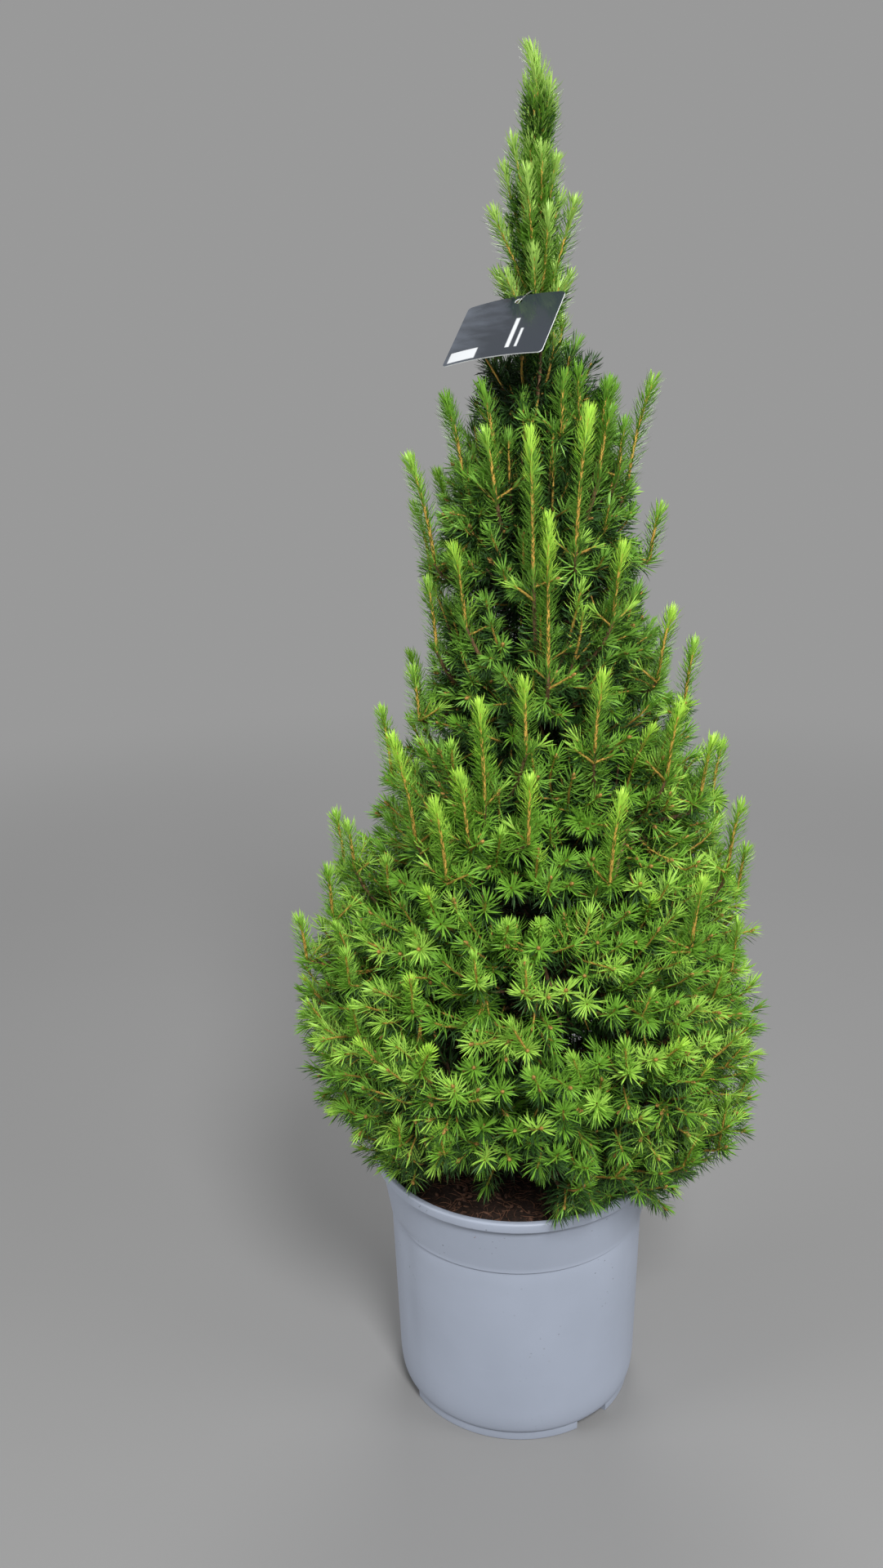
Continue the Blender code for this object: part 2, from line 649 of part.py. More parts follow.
def grow_leaders(mass, placed):
    """The strong upright shoots whose feet stand in a mass's space, clear of those already placed."""
    shoots = []
    for turn, height, rise, shift in LEADERS:
        azimuth = radians(turn)
        radius = crown_reach(height * MM, azimuth) - LEADER_INSET
        foot = crown_point(azimuth, radius, height * MM)
        lean = Vector((sin(azimuth), -cos(azimuth), 0)) * LEADER_LEAN * rise
        tip = foot + (lean + Vector((shift, 0, rise))) * MM
        if not mass.holds(foot) or not mass.way_is_clear(foot, tip, leader=True):
            continue
        if any(line_gap((foot, tip), other) < LEADER_CLEARANCE for other in placed):
            continue
        placed.append((foot, tip))
        shoots.append(make_shoot(mass, foot, tip, 3, LEADER_NEEDLE, leader=True))
    return shoots


def make_core(mass):
    """The dense inner foliage of a mass: a rough lump bent to the mass's own space."""
    rng = random.Random(f"{SEED} core {mass.name}")
    bm = bmesh.new()
    bmesh.ops.create_icosphere(bm, subdivisions=2, radius=1)
    for vert in bm.verts:
        squareness = sum(abs(part) ** CORE_POWER for part in vert.co) ** (1 / CORE_POWER)
        vert.co = mass.core_point(vert.co / squareness * (1 - CORE_ROUGHNESS * rng.random()))
    face_outwards(bm)
    return bm


def tidy_union(made):
    """Closes up what a union leaves: points that meet, slivers, and scraps apart from the body."""
    bm = bmesh.new()
    bm.from_mesh(made.data)
    bmesh.ops.triangulate(bm, faces=bm.faces)
    bmesh.ops.remove_doubles(bm, verts=bm.verts, dist=0.004 * MM)
    bmesh.ops.dissolve_degenerate(bm, edges=bm.edges, dist=0.004 * MM)
    bmesh.ops.triangulate(bm, faces=bm.faces)
    unseen = set(bm.faces)
    parts = []
    while unseen:
        part = set()
        waiting = [unseen.pop()]
        while waiting:
            face = waiting.pop()
            part.add(face)
            beside = {other for edge in face.edges for other in edge.link_faces} & unseen
            unseen -= beside
            waiting.extend(beside)
        parts.append(part)
    body = max(parts, key=len)
    bmesh.ops.delete(bm, geom=[face for face in bm.faces if face not in body], context="FACES")
    bm.to_mesh(made.data)
    bm.free()


def make_mass(mass, placed, material):
    """One mass of foliage: a core, a stem, and twigs with needles that stand out of it."""
    rng = random.Random(f"{SEED} {mass.name}")
    pieces = grow_leaders(mass, placed) + grow_shoots(mass, rng)
    pieces = [make_object("piece", piece) for piece in pieces]
    if mass.level < len(TIERS) - 1:
        body = make_object(mass.name, make_core(mass), material)
        pieces.append(make_object("stem", make_stem(mass)))
    else:
        body = make_object(mass.name, make_stem(mass), material)
    join_with(body, pieces, solver="MANIFOLD")
    tidy_union(body)


def make_leader_shoot(material):
    """This year's leader, which carries on from the trunk's tip to the top of the crown."""
    foot = trunk_centre(TRUNK_TOP + GAP)
    tip = trunk_centre(CROWN_TOP)
    points = [foot.lerp(tip, share) for share in (0, 0.12, 0.4, 0.7, 1)]
    radii = [TRUNK_TOP_RADIUS * share for share in (1, 1, 0.9, 0.75, 0.4)]
    bm = limb(points, radii, 4)

    def is_clear(root, end):
        return end.z < CROWN_TOP and end.z > TRUNK_TOP + 6 * MM

    set_needles(bm, points[1], Vector((0, 0, 1)), TIP_NEEDLE, is_clear)
    make_object("leader_shoot", bm, material)


def make_label(card_material, tie_material):
    """The card and the tie that it hangs by."""
    _, _, out, _, height = CARD_FRAME
    bm = bmesh.new()
    bmesh.ops.create_grid(bm, x_segments=6, y_segments=1, size=0.5)
    for vert in bm.verts:
        vert.co = card_point(vert.co.x + 0.5, vert.co.y + 0.5) + out * CARD_THICKNESS / 2
    bmesh.ops.solidify(bm, geom=bm.faces, thickness=CARD_THICKNESS)
    face_outwards(bm)
    card = make_object("plant_label", bm, card_material)
    punch = bmesh.new()
    place = Matrix.Translation(card_point(CARD_HOLE_SHARE, 1 - CARD_HOLE_INSET / height))
    turn = out.to_track_quat("Z", "Y").to_matrix().to_4x4()
    bmesh.ops.create_cone(punch, cap_ends=True, segments=8, radius1=CARD_HOLE_RADIUS,
                          radius2=CARD_HOLE_RADIUS, depth=8 * MM, matrix=place @ turn)
    join_with(card, [make_object("punch", punch)], "DIFFERENCE")
    centre, radius, towards, side = TIE_CIRCLE
    loop = bmesh.new()
    axis = towards.cross(side)
    turn = side.to_track_quat("Z", "Y").to_matrix().to_4x4()
    start = Matrix.Translation(centre + towards * radius)
    ring = bmesh.ops.create_circle(loop, segments=5, radius=TIE_RADIUS, matrix=start @ turn)["verts"]
    bmesh.ops.spin(loop, geom=ring + loop.edges[:], cent=centre, axis=axis, angle=2 * pi, steps=16,
                   use_merge=True)
    face_outwards(loop)
    make_object("label_tie", loop, tie_material, radians(60))


def main():
    """Builds the whole plant."""
    for old in list(bpy.data.objects):
        bpy.data.objects.remove(old)
    plastic = make_material("pot_plastic", (0.36, 0.40, 0.47), 0.55)
    peat = make_material("peat", (0.045, 0.022, 0.014), 0.95)
    bark = make_material("bark", (0.16, 0.09, 0.05), 0.9)
    needles = make_material("needles", (0.10, 0.24, 0.05), 0.6)
    slate = make_material("slate_card", (0.05, 0.06, 0.08), 0.25)
    clear = make_material("tie_plastic", (0.75, 0.75, 0.72), 0.3)
    make_pot(plastic)
    make_soil(peat)
    make_trunk(bark)
    placed = []
    for level, tier in enumerate(TIERS):
        for index in range(tier.masses):
            mass = Mass(level, index)
            if mass.has_bough:
                make_bough(mass, bark)
            make_mass(mass, placed, needles)
    make_leader_shoot(needles)
    make_label(slate, clear)


main()
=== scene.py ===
# %% [markdown]
# # A dwarf Alberta spruce in its pot
#
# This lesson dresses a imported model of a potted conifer. The solids give every part its place and size: a
# pot, its soil, a trunk, boughs, masses of foliage and a hanging card. We leave them where they are, and
# make the surface that the eye meets: plastic, peat, bark and some hundreds of thousands of needles.
#
# We start with the frame. Its box is kept now, so that at the end we can tell whether what we made is
# still the size of the solids.

# %% Load the frame
from collections import namedtuple
from math import atan2, cos, exp, hypot, pi, radians, sin

import bmesh
import bpy
import numpy as np
from mathutils import Matrix, Vector, noise


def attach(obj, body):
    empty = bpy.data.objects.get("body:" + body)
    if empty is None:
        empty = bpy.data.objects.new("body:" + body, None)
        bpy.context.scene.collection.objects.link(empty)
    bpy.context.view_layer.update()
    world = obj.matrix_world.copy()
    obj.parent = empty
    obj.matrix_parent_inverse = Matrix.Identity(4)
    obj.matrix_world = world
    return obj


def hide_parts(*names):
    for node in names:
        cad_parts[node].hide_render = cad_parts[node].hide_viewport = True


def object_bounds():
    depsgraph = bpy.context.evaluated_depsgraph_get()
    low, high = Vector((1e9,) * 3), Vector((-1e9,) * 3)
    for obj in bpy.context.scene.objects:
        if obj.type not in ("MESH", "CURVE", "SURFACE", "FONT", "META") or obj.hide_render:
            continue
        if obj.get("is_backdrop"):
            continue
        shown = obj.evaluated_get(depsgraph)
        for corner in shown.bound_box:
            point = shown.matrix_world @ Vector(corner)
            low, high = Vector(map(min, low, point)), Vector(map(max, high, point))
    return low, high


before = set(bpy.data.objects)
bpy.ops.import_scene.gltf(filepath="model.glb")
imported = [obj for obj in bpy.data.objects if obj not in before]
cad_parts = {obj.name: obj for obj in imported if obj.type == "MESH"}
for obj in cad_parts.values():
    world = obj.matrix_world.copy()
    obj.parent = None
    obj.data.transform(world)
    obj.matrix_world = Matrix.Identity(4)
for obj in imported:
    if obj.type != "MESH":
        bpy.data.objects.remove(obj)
solid_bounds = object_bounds()
NODES = sorted(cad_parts)
print("solids:", len(NODES), "box:", [[round(part, 4) for part in corner] for corner in solid_bounds])

# %% [markdown]
# ## The sizes that everything hangs on
#
# A grower would measure a plant like this with a stick and a tape: the pot's rim and height, the trunk's
# girth, and the crown's half width at several heights. Those few numbers drive every piece below. All of
# them are metres, written in millimetres for ease.

# %% Driving sizes of pot, soil and trunk
MM = 0.001
GAP = 0.3 * MM
SEED = 41

POT_HEIGHT = 230.2 * MM
RIM_RADIUS = 122.8 * MM
RIM_BAND = 8.5 * MM
RIM_OVERHANG = 4.0 * MM
COLLAR_HEIGHT = 176.4 * MM
COLLAR_RADIUS = 111.2 * MM
HEEL_HEIGHT = 34 * MM
HEEL_RADIUS = 106.4 * MM
FOOT_RADIUS = 101.8 * MM
FOOT_HEIGHT = 9.0 * MM
WALL = 2.2 * MM
FLOOR = 2.6 * MM
CHANNEL_SPREAD = radians(19)
CHANNEL_INNER_RADIUS = 58 * MM
CHANNEL_AZIMUTHS = [radians(-17 + turn) for turn in (-126, -54, 54, 126)]
DRAIN_RADIUS = 6 * MM

SOIL_HEIGHT = 212 * MM
TRUNK_FOOT = SOIL_HEIGHT + GAP
TRUNK_TOP = 1045 * MM
TRUNK_BASE_RADIUS = 10.5 * MM
TRUNK_TOP_RADIUS = 1.7 * MM
FLARE_RADIUS = 6.0 * MM
FLARE_HEIGHT = 13 * MM
TRUNK_FOOT_OFFSET = 4 * MM
TRUNK_LEAN = 14 * MM
LEAN_HEIGHT = 500 * MM
TIP_SWAY = 4 * MM
SWAY_HEIGHT = 980 * MM
CROWN_TOP = 1093 * MM
print("pot", round(2 * RIM_RADIUS, 3), "m across; plant", CROWN_TOP, "m tall")

# %% [markdown]
# The crown isn't an even cone. Its outline is a short list of heights, each with a reach to the left and to
# the right. Between them we interpolate, and round the crown we swing from one side's reach to the other's,
# so that the same list gives a full crown from every side.

# %% The crown's outline, its tiers and its limbs
CROWN_OUTLINE = [[height * MM, left * MM, right * MM] for height, left, right in (
    (165, 118, 138), (235, 142, 162), (270, 168, 203), (320, 198, 207), (380, 207, 203), (430, 192, 192),
    (500, 155, 168), (560, 126, 147), (640, 95, 117), (700, 88, 98), (750, 92, 93), (810, 70, 68),
    (880, 54, 54), (925, 31, 30), (970, 31, 29), (1030, 21, 18), (1093, 7, 7))]
FRONT_HEIGHT = 360 * MM
FRONT_SHARE = 0.80
LEVELS = ((0.2375, 0.0), (0.262, 0.20), (0.332, 0.40), (0.427, 0.60), (0.538, 0.80), (0.648, 1.0),
          (0.772, 1.3), (0.932, 0.3), (1.0465, 0.0), (1.100, 0.0))
Tier = namedtuple("Tier", "masses turn shoot stem")
TIERS = (
    Tier(6, radians(10), 56 * MM, (0.5, 0.5)),
    Tier(5, radians(38), 56 * MM, (0.5, 0.5)),
    Tier(5, radians(2), 54 * MM, (0.5, 0.5)),
    Tier(4, radians(44), 52 * MM, (0.5, 0.5)),
    Tier(4, radians(0), 50 * MM, (0.4, 0.5)),
    Tier(3, radians(60), 46 * MM, (0.35, 0.5)),
    Tier(3, radians(0), 40 * MM, (0.3, 0.6)),
    Tier(3, radians(60), 34 * MM, (0.06, 0.70)),
)
BOUGH_TIERS = 4
BOUGH_SHARE = 0.34
STEM_SHARE = 0.72
BOUGH_RADIUS = 4.6 * MM
BOUGH_THINNING = 0.08
STEM_RADIUS = 3.0 * MM
FINE_STEM = 0.62
SIDE_FALL = 0.07
DROOP_HEIGHT = 163 * MM
print("masses of foliage:", sum(tier.masses for tier in TIERS))

# %% [markdown]
# ## Camera, floor and light
#
# The photograph was taken from about a metre away and looks slightly down, which is why the pot narrows so
# much towards its foot. A camera at the same place gives the same narrowing. The floor is one plain sheet,
# and the light is that of a white tent: a large soft lamp above the camera, weaker ones from each side and
# from behind, and an even grey world that fills the shadows.

# %% Camera
CAMERA_PLACE = Vector((-0.0585, -1.0132, 0.8727))
CAMERA_PITCH = 0.3009
CAMERA_ROLL = 0.0209
CAMERA_LENS = 30.26
SENSOR = 36.0


def make_camera():
    """A camera that looks along +Y and down, rolled slightly."""
    data = bpy.data.cameras.new("camera")
    data.lens = CAMERA_LENS
    data.sensor_width = SENSOR
    forward = Vector((0, cos(CAMERA_PITCH), -sin(CAMERA_PITCH)))
    level = Vector((1, 0, 0))
    down = Vector((0, -sin(CAMERA_PITCH), -cos(CAMERA_PITCH)))
    right = cos(CAMERA_ROLL) * level + sin(CAMERA_ROLL) * down
    up = sin(CAMERA_ROLL) * level - cos(CAMERA_ROLL) * down
    camera = bpy.data.objects.new("camera", data)
    camera.matrix_world = Matrix((right, up, -forward)).transposed().to_4x4()
    camera.location = CAMERA_PLACE
    bpy.context.scene.collection.objects.link(camera)
    bpy.context.scene.camera = camera


make_camera()
print("camera", round(CAMERA_PLACE.length, 3), "m from the pot's foot")

# %% [markdown]
# Every piece below needs an object, so here is the one helper that makes it from a bmesh. The piece rides
# on the plant's only body, and its place stays in its mesh.

# %% A helper that turns a bmesh into a piece
BODY = "root"


def link_piece(name, mesh, replaced=(), materials=()):
    """Links a mesh to the scene as a piece of the plant that may stand for solids of the frame."""
    piece = bpy.data.objects.new(name, mesh)
    bpy.context.scene.collection.objects.link(piece)
    for material in materials:
        mesh.materials.append(material)
    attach(piece, BODY)
    if replaced:
        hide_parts(*replaced)
    print(name, "has", len(mesh.polygons), "faces")
    return piece


def mesh_of(name, bm, sharp_angle=None):
    """A mesh from a bmesh, which is freed, shaded smooth but for edges sharper than an angle."""
    mesh = bpy.data.meshes.new(name)
    bm.to_mesh(mesh)
    bm.free()
    mesh.shade_smooth()
    if sharp_angle is not None:
        mesh.set_sharp_from_angle(angle=sharp_angle)
    return mesh


# %% [markdown]
# A shader is a small graph. These helpers keep the graph readable. One starts a material and hands back its
# tree and its shader, and one adds a node with its settings and links in a single line. The third hands
# back the place on the object, which every pattern below reads.

# %% Helpers for materials
def start_material(name, colour, roughness):
    """A new material with its node tree and its Principled shader."""
    material = bpy.data.materials.new(name)
    material.use_nodes = True
    shader = material.node_tree.nodes["Principled BSDF"]
    shader.inputs["Base Color"].default_value = (*colour, 1)
    shader.inputs["Roughness"].default_value = roughness
    return material, material.node_tree, shader


def add_node(tree, kind, values=None, **settings):
    """A node of a kind, with settings on the node and values or links on its named inputs."""
    node = tree.nodes.new(kind)
    for key, value in settings.items():
        setattr(node, key, value)
    for key, value in (values or {}).items():
        if isinstance(value, bpy.types.NodeSocket):
            tree.links.new(value, node.inputs[key])
        else:
            node.inputs[key].default_value = value
    return node


def object_place(tree, scale=(1, 1, 1)):
    """The point on the object that is being shaded, in metres, with each axis stretched."""
    place = add_node(tree, "ShaderNodeTexCoord").outputs["Object"]
    return add_node(tree, "ShaderNodeMapping", {"Vector": place, "Scale": scale}).outputs["Vector"]


# %% [markdown]
# The rest of the helpers name what we do again and again: a cloudy pattern, a ramp of colours, a blend, a
# change of range, a sum or product, and a relief.

# %% Patterns and their use
def noise_at(tree, place, scale, detail=4.0, roughness=0.5):
    """A cloudy pattern from 0 to 1."""
    values = {"Vector": place, "Scale": scale, "Detail": detail, "Roughness": roughness}
    return add_node(tree, "ShaderNodeTexNoise", values).outputs["Fac"]


def ramp(tree, factor, stops):
    """Colours laid along a factor: each stop is a position and a colour."""
    node = add_node(tree, "ShaderNodeValToRGB", {"Fac": factor})
    elements = node.color_ramp.elements
    while len(elements) < len(stops):
        elements.new(0.5)
    for element, (position, colour) in zip(elements, stops):
        element.position = position
        element.color = (*colour, 1)
    return node.outputs["Color"]


def blend_colours(tree, factor, under, over, mode="MIX"):
    """One colour over another by a factor."""
    node = add_node(tree, "ShaderNodeMix", data_type="RGBA", blend_type=mode)
    for socket, value in ((node.inputs[0], factor), (node.inputs[6], under), (node.inputs[7], over)):
        if isinstance(value, bpy.types.NodeSocket):
            tree.links.new(value, socket)
        else:
            socket.default_value = value if isinstance(value, float) else (*value, 1)
    return node.outputs[2]


def remap(tree, value, inputs=(0.0, 1.0), outputs=(0.0, 1.0), **settings):
    """A value carried from one range to another, and kept within it."""
    values = {"Value": value, "From Min": inputs[0], "From Max": inputs[1], "To Min": outputs[0],
              "To Max": outputs[1]}
    return add_node(tree, "ShaderNodeMapRange", values, **settings).outputs["Result"]


def reckon(tree, operation, one, other):
    """Two values added, multiplied or the like."""
    return add_node(tree, "ShaderNodeMath", {0: one, 1: other}, operation=operation).outputs[0]


def paint(tree, shader, colour):
    """Lets a pattern give the shader its colour."""
    tree.links.new(colour, shader.inputs["Base Color"])


def bump(tree, shader, height, distance, strength):
    """Lets a height pattern tilt the shader's normal, as relief of a depth in metres would."""
    node = add_node(tree, "ShaderNodeBump", {"Height": height, "Distance": distance, "Strength": strength})
    tree.links.new(node.outputs["Normal"], shader.inputs["Normal"])


# %% [markdown]
# The floor is far larger than the plant, so its edge never shows. It carries a very faint mottling, as a
# painted studio floor does, and further out it fades into the grey of the world, so that no horizon shows.

# %% Floor, world and lamps
FLOOR_COLOUR = (0.225, 0.225, 0.225)
FLOOR_DULL = 0.985
FLOOR_REACH = 30
BACKDROP = (0.319, 0.319, 0.319)
FADE_START = 0.9
FADE_END = 2.6
Lamp = namedtuple("Lamp", "name place aim size watts")
LAMPS = (
    Lamp("key_lamp", (0.4, -1.8, 2.2), (0, 0, 0.55), 0.7, 68),
    Lamp("left_lamp", (-2.2, -0.7, 1.5), (0, 0, 0.5), 1.2, 24),
    Lamp("right_lamp", (2.2, -0.9, 1.6), (0, 0, 0.5), 1.2, 21),
    Lamp("back_lamp", (0.3, 2.2, 2.4), (0, 0, 0.6), 1.4, 36),
)


def floor_material():
    """Faintly mottled grey that fades into the backdrop's grey with its distance from the plant."""
    material, tree, shader = start_material("studio_floor", FLOOR_COLOUR, 0.9)
    place = object_place(tree)
    dull = [part * FLOOR_DULL for part in FLOOR_COLOUR]
    paint(tree, shader, ramp(tree, noise_at(tree, place, 2.5), ((0.35, dull), (0.65, FLOOR_COLOUR))))
    away = add_node(tree, "ShaderNodeVectorMath", {0: place}, operation="LENGTH").outputs["Value"]
    fade = remap(tree, away, (FADE_START, FADE_END), interpolation_type="SMOOTHSTEP")
    glow = add_node(tree, "ShaderNodeEmission", {"Color": (*BACKDROP, 1)}).outputs[0]
    mix = add_node(tree, "ShaderNodeMixShader", {0: fade, 1: shader.outputs[0], 2: glow}).outputs[0]
    tree.links.new(mix, tree.nodes["Material Output"].inputs["Surface"])
    return material


def make_floor():
    """The floor, one square sheet."""
    bm = bmesh.new()
    bmesh.ops.create_grid(bm, x_segments=1, y_segments=1, size=FLOOR_REACH)
    floor = bpy.data.objects.new("floor", mesh_of("floor", bm))
    bpy.context.scene.collection.objects.link(floor)
    floor.data.materials.append(floor_material())
    floor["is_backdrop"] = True


def make_world():
    """An even grey light from all round."""
    world = bpy.data.worlds.new("studio")
    world.use_nodes = True
    sky = world.node_tree.nodes["Background"]
    sky.inputs["Color"].default_value = (*BACKDROP, 1)
    bpy.context.scene.world = world
    bpy.context.scene.view_settings.view_transform = "Standard"


def make_lamp(lamp):
    """A round soft lamp, aimed at a point of the plant."""
    data = bpy.data.lights.new(lamp.name, "AREA")
    data.shape = "DISK"
    data.size = lamp.size
    data.energy = lamp.watts
    light = bpy.data.objects.new(lamp.name, data)
    light.location = lamp.place
    light.rotation_euler = (Vector(lamp.aim) - Vector(lamp.place)).to_track_quat("-Z", "Y").to_euler()
    bpy.context.scene.collection.objects.link(light)


make_floor()
make_world()
for lamp in LAMPS:
    make_lamp(lamp)
print("lamps:", [lamp.name for lamp in LAMPS])

# %% [markdown]
# ## The pot
#
# A nursery pot is injection moulded: it is a thin shell with the same section all the way round, so it is
# made as on a lathe. We draw half of its section and spin it about the upright axis. Where the mould has
# round corners the section has arcs, because a hard corner catches no light and looks false.

# %% A section with arcs, and a lathe
FOOT_ROUND = 1.0 * MM
HEEL_STEP = 1.2 * MM
COLLAR_STEP = 1.0 * MM
COLLAR_ROUND = 0.8 * MM
LIP_ROUND_BELOW = 1.2 * MM
LIP_ROUND = 1.9 * MM
MOUTH_ROUND = (1.6 * MM, 1.5 * MM)
FLOOR_EDGE_HEIGHT = 16 * MM
MERGE_DISTANCE = 0.001 * MM


def arc(centre, radii, start, end, steps):
    """Points along an arc of an ellipse in the section, from one angle to another in degrees."""
    angles = [radians(start + (end - start) * step / steps) for step in range(steps + 1)]
    return [(centre[0] + radii[0] * cos(angle), centre[1] + radii[1] * sin(angle)) for angle in angles]


def turned(section, segments, start=0.0, sweep=2 * pi):
    """A bmesh spun from a section of radius and height: a whole turn, or a closed sector."""
    bm = bmesh.new()
    verts = [bm.verts.new((radius * sin(start), -radius * cos(start), height)) for radius, height in section]
    whole = sweep == 2 * pi
    if whole:
        geometry = verts + [bm.edges.new(pair) for pair in zip(verts, verts[1:])]
    else:
        geometry = [bm.faces.new(verts)]
    bmesh.ops.spin(bm, geom=geometry, cent=(0, 0, 0), axis=(0, 0, 1), angle=sweep, steps=segments,
                   use_merge=whole)
    bmesh.ops.remove_doubles(bm, verts=bm.verts, dist=MERGE_DISTANCE)
    bm.normal_update()
    bmesh.ops.recalc_face_normals(bm, faces=bm.faces)
    return bm


def pot_section():
    """Half of the pot's section, from the middle of its underside up the outside and down the inside."""
    lip = RIM_RADIUS - RIM_OVERHANG
    under = POT_HEIGHT - RIM_BAND
    heel = (HEEL_RADIUS - FOOT_RADIUS - HEEL_STEP, HEEL_HEIGHT - FOOT_HEIGHT - 0.6 * MM)
    outside = [(0, 0), *arc((FOOT_RADIUS - FOOT_ROUND, FOOT_ROUND), (FOOT_ROUND, FOOT_ROUND), -90, 0, 4)]
    outside += [(FOOT_RADIUS + 0.3 * MM, FOOT_HEIGHT - 0.5 * MM), (FOOT_RADIUS - 0.5 * MM, FOOT_HEIGHT)]
    outside += arc((FOOT_RADIUS + HEEL_STEP, HEEL_HEIGHT), heel, -90, 0, 8)
    outside += [(COLLAR_RADIUS - COLLAR_STEP, COLLAR_HEIGHT - 2.0 * MM),
                (COLLAR_RADIUS - COLLAR_STEP - 0.1 * MM, COLLAR_HEIGHT - 0.9 * MM)]
    outside += arc((COLLAR_RADIUS - 0.4 * MM, COLLAR_HEIGHT), (COLLAR_ROUND, COLLAR_ROUND), -90, 20, 4)
    outside += [(lip, under - 0.4 * MM), (lip + 0.5 * MM, under)]
    for height, radius, start, end, steps in ((under + LIP_ROUND_BELOW, LIP_ROUND_BELOW, -90, 0, 3),
                                              (POT_HEIGHT - LIP_ROUND, LIP_ROUND, 0, 90, 5)):
        outside += arc((RIM_RADIUS - radius, height), (radius, radius), start, end, steps)
    inside = arc((lip - 0.1 * MM, POT_HEIGHT - MOUTH_ROUND[1]), MOUTH_ROUND, 90, 180, 3)
    inside += [(lip - WALL, under), (COLLAR_RADIUS - WALL - COLLAR_STEP, COLLAR_HEIGHT),
               (HEEL_RADIUS - WALL, HEEL_HEIGHT), (FOOT_RADIUS - 1.8 * MM, FLOOR_EDGE_HEIGHT),
               (FOOT_RADIUS - WALL, FLOOR), (0, FLOOR)]
    return outside + inside


print("the section has", len(pot_section()), "points")

# %% [markdown]
# Four shallow channels under the foot let water out: their mouths are the dark notches at the bottom edge.
# A channel is a slice of a ring, cut away by a Boolean, after a slightly larger slice has thickened the
# floor above it. In the roof of each channel is a round drain hole.

# %% Channels, drains and a Boolean
CHANNEL_ROOF = FOOT_HEIGHT + WALL + 0.2 * MM
CHANNEL_WALL_TURN = radians(2)
CHANNEL_SEGMENTS = 10
DRAIN_SEGMENTS = 24


def joined(piece, others, operation):
    """One Boolean of a piece with a collection of others, applied, and the others removed."""
    group = bpy.data.collections.new("others")
    bpy.context.scene.collection.children.link(group)
    for other in others:
        group.objects.link(other)
    boolean = piece.modifiers.new("join", "BOOLEAN")
    boolean.operand_type = "COLLECTION"
    boolean.collection = group
    boolean.operation = operation
    evaluated = piece.evaluated_get(bpy.context.evaluated_depsgraph_get())
    mesh = bpy.data.meshes.new_from_object(evaluated)
    piece.modifiers.clear()
    piece.data = mesh
    for other in others:
        bpy.data.objects.remove(other)
    bpy.data.collections.remove(group)


def helper_object(name, bm):
    """An object for a Boolean."""
    other = bpy.data.objects.new(name, mesh_of(name, bm))
    bpy.context.scene.collection.objects.link(other)
    return other


def channel(azimuth, inner, outer, low, high, spare):
    """A slice of a ring as wide as a channel, with an angle to spare on each side."""
    half = CHANNEL_SPREAD / 2 + spare
    corners = ((inner, low), (outer, low), (outer, high), (inner, high))
    return turned(corners, CHANNEL_SEGMENTS, azimuth - half, 2 * half)


def drain(azimuth):
    """A round hole through the roof of a channel."""
    bm = bmesh.new()
    middle = Vector((sin(azimuth), -cos(azimuth), 0)) * (CHANNEL_INNER_RADIUS + FOOT_RADIUS) / 2
    middle.z = CHANNEL_ROOF
    bmesh.ops.create_cone(bm, cap_ends=True, segments=DRAIN_SEGMENTS, radius1=DRAIN_RADIUS,
                          radius2=DRAIN_RADIUS, depth=4 * WALL, matrix=Matrix.Translation(middle))
    return bm


print("channels:", len(CHANNEL_AZIMUTHS), "their roof is", round(CHANNEL_ROOF, 4), "m high")

# %% [markdown]
# The wall has a long dent at the left, where the thin plastic has buckled a little, and the lower edge of
# the lip is uneven. Both are real relief, moved into the mesh point by point. The tall faces of the wall
# are first cut into short ones, because a point that isn't there can't move.

# %% The pot's mesh
POT_SEGMENTS = 160
WALL_CUTS = 9
DENT_AZIMUTH = radians(-62)
DENT_WIDTH = radians(7)
DENT_DEPTH = 1.5 * MM
DENT_FADE = 60 * MM
LIP_WAVER = 0.35 * MM
LIP_WAVES = 9
POT_SHARP = radians(38)


def shape_wall(bm):
    """Buckles the wall at the left and lets the lip's lower edge waver."""
    for vert in bm.verts:
        azimuth = atan2(vert.co.x, -vert.co.y)
        radius = vert.co.xy.length
        if HEEL_HEIGHT < vert.co.z < COLLAR_HEIGHT + 2 * MM and radius > FOOT_RADIUS:
            fade = min(1, (vert.co.z - HEEL_HEIGHT) / DENT_FADE)
            across = (azimuth - DENT_AZIMUTH) / DENT_WIDTH
            inwards = DENT_DEPTH * fade * exp(-across ** 2)
            vert.co.xy *= 1 - inwards / radius
        if abs(vert.co.z - (POT_HEIGHT - RIM_BAND)) < 1.5 * MM and radius > RIM_RADIUS - RIM_OVERHANG:
            around = Vector((sin(azimuth), cos(azimuth), 0)) * LIP_WAVES
            vert.co.z += LIP_WAVER * noise.noise(around)


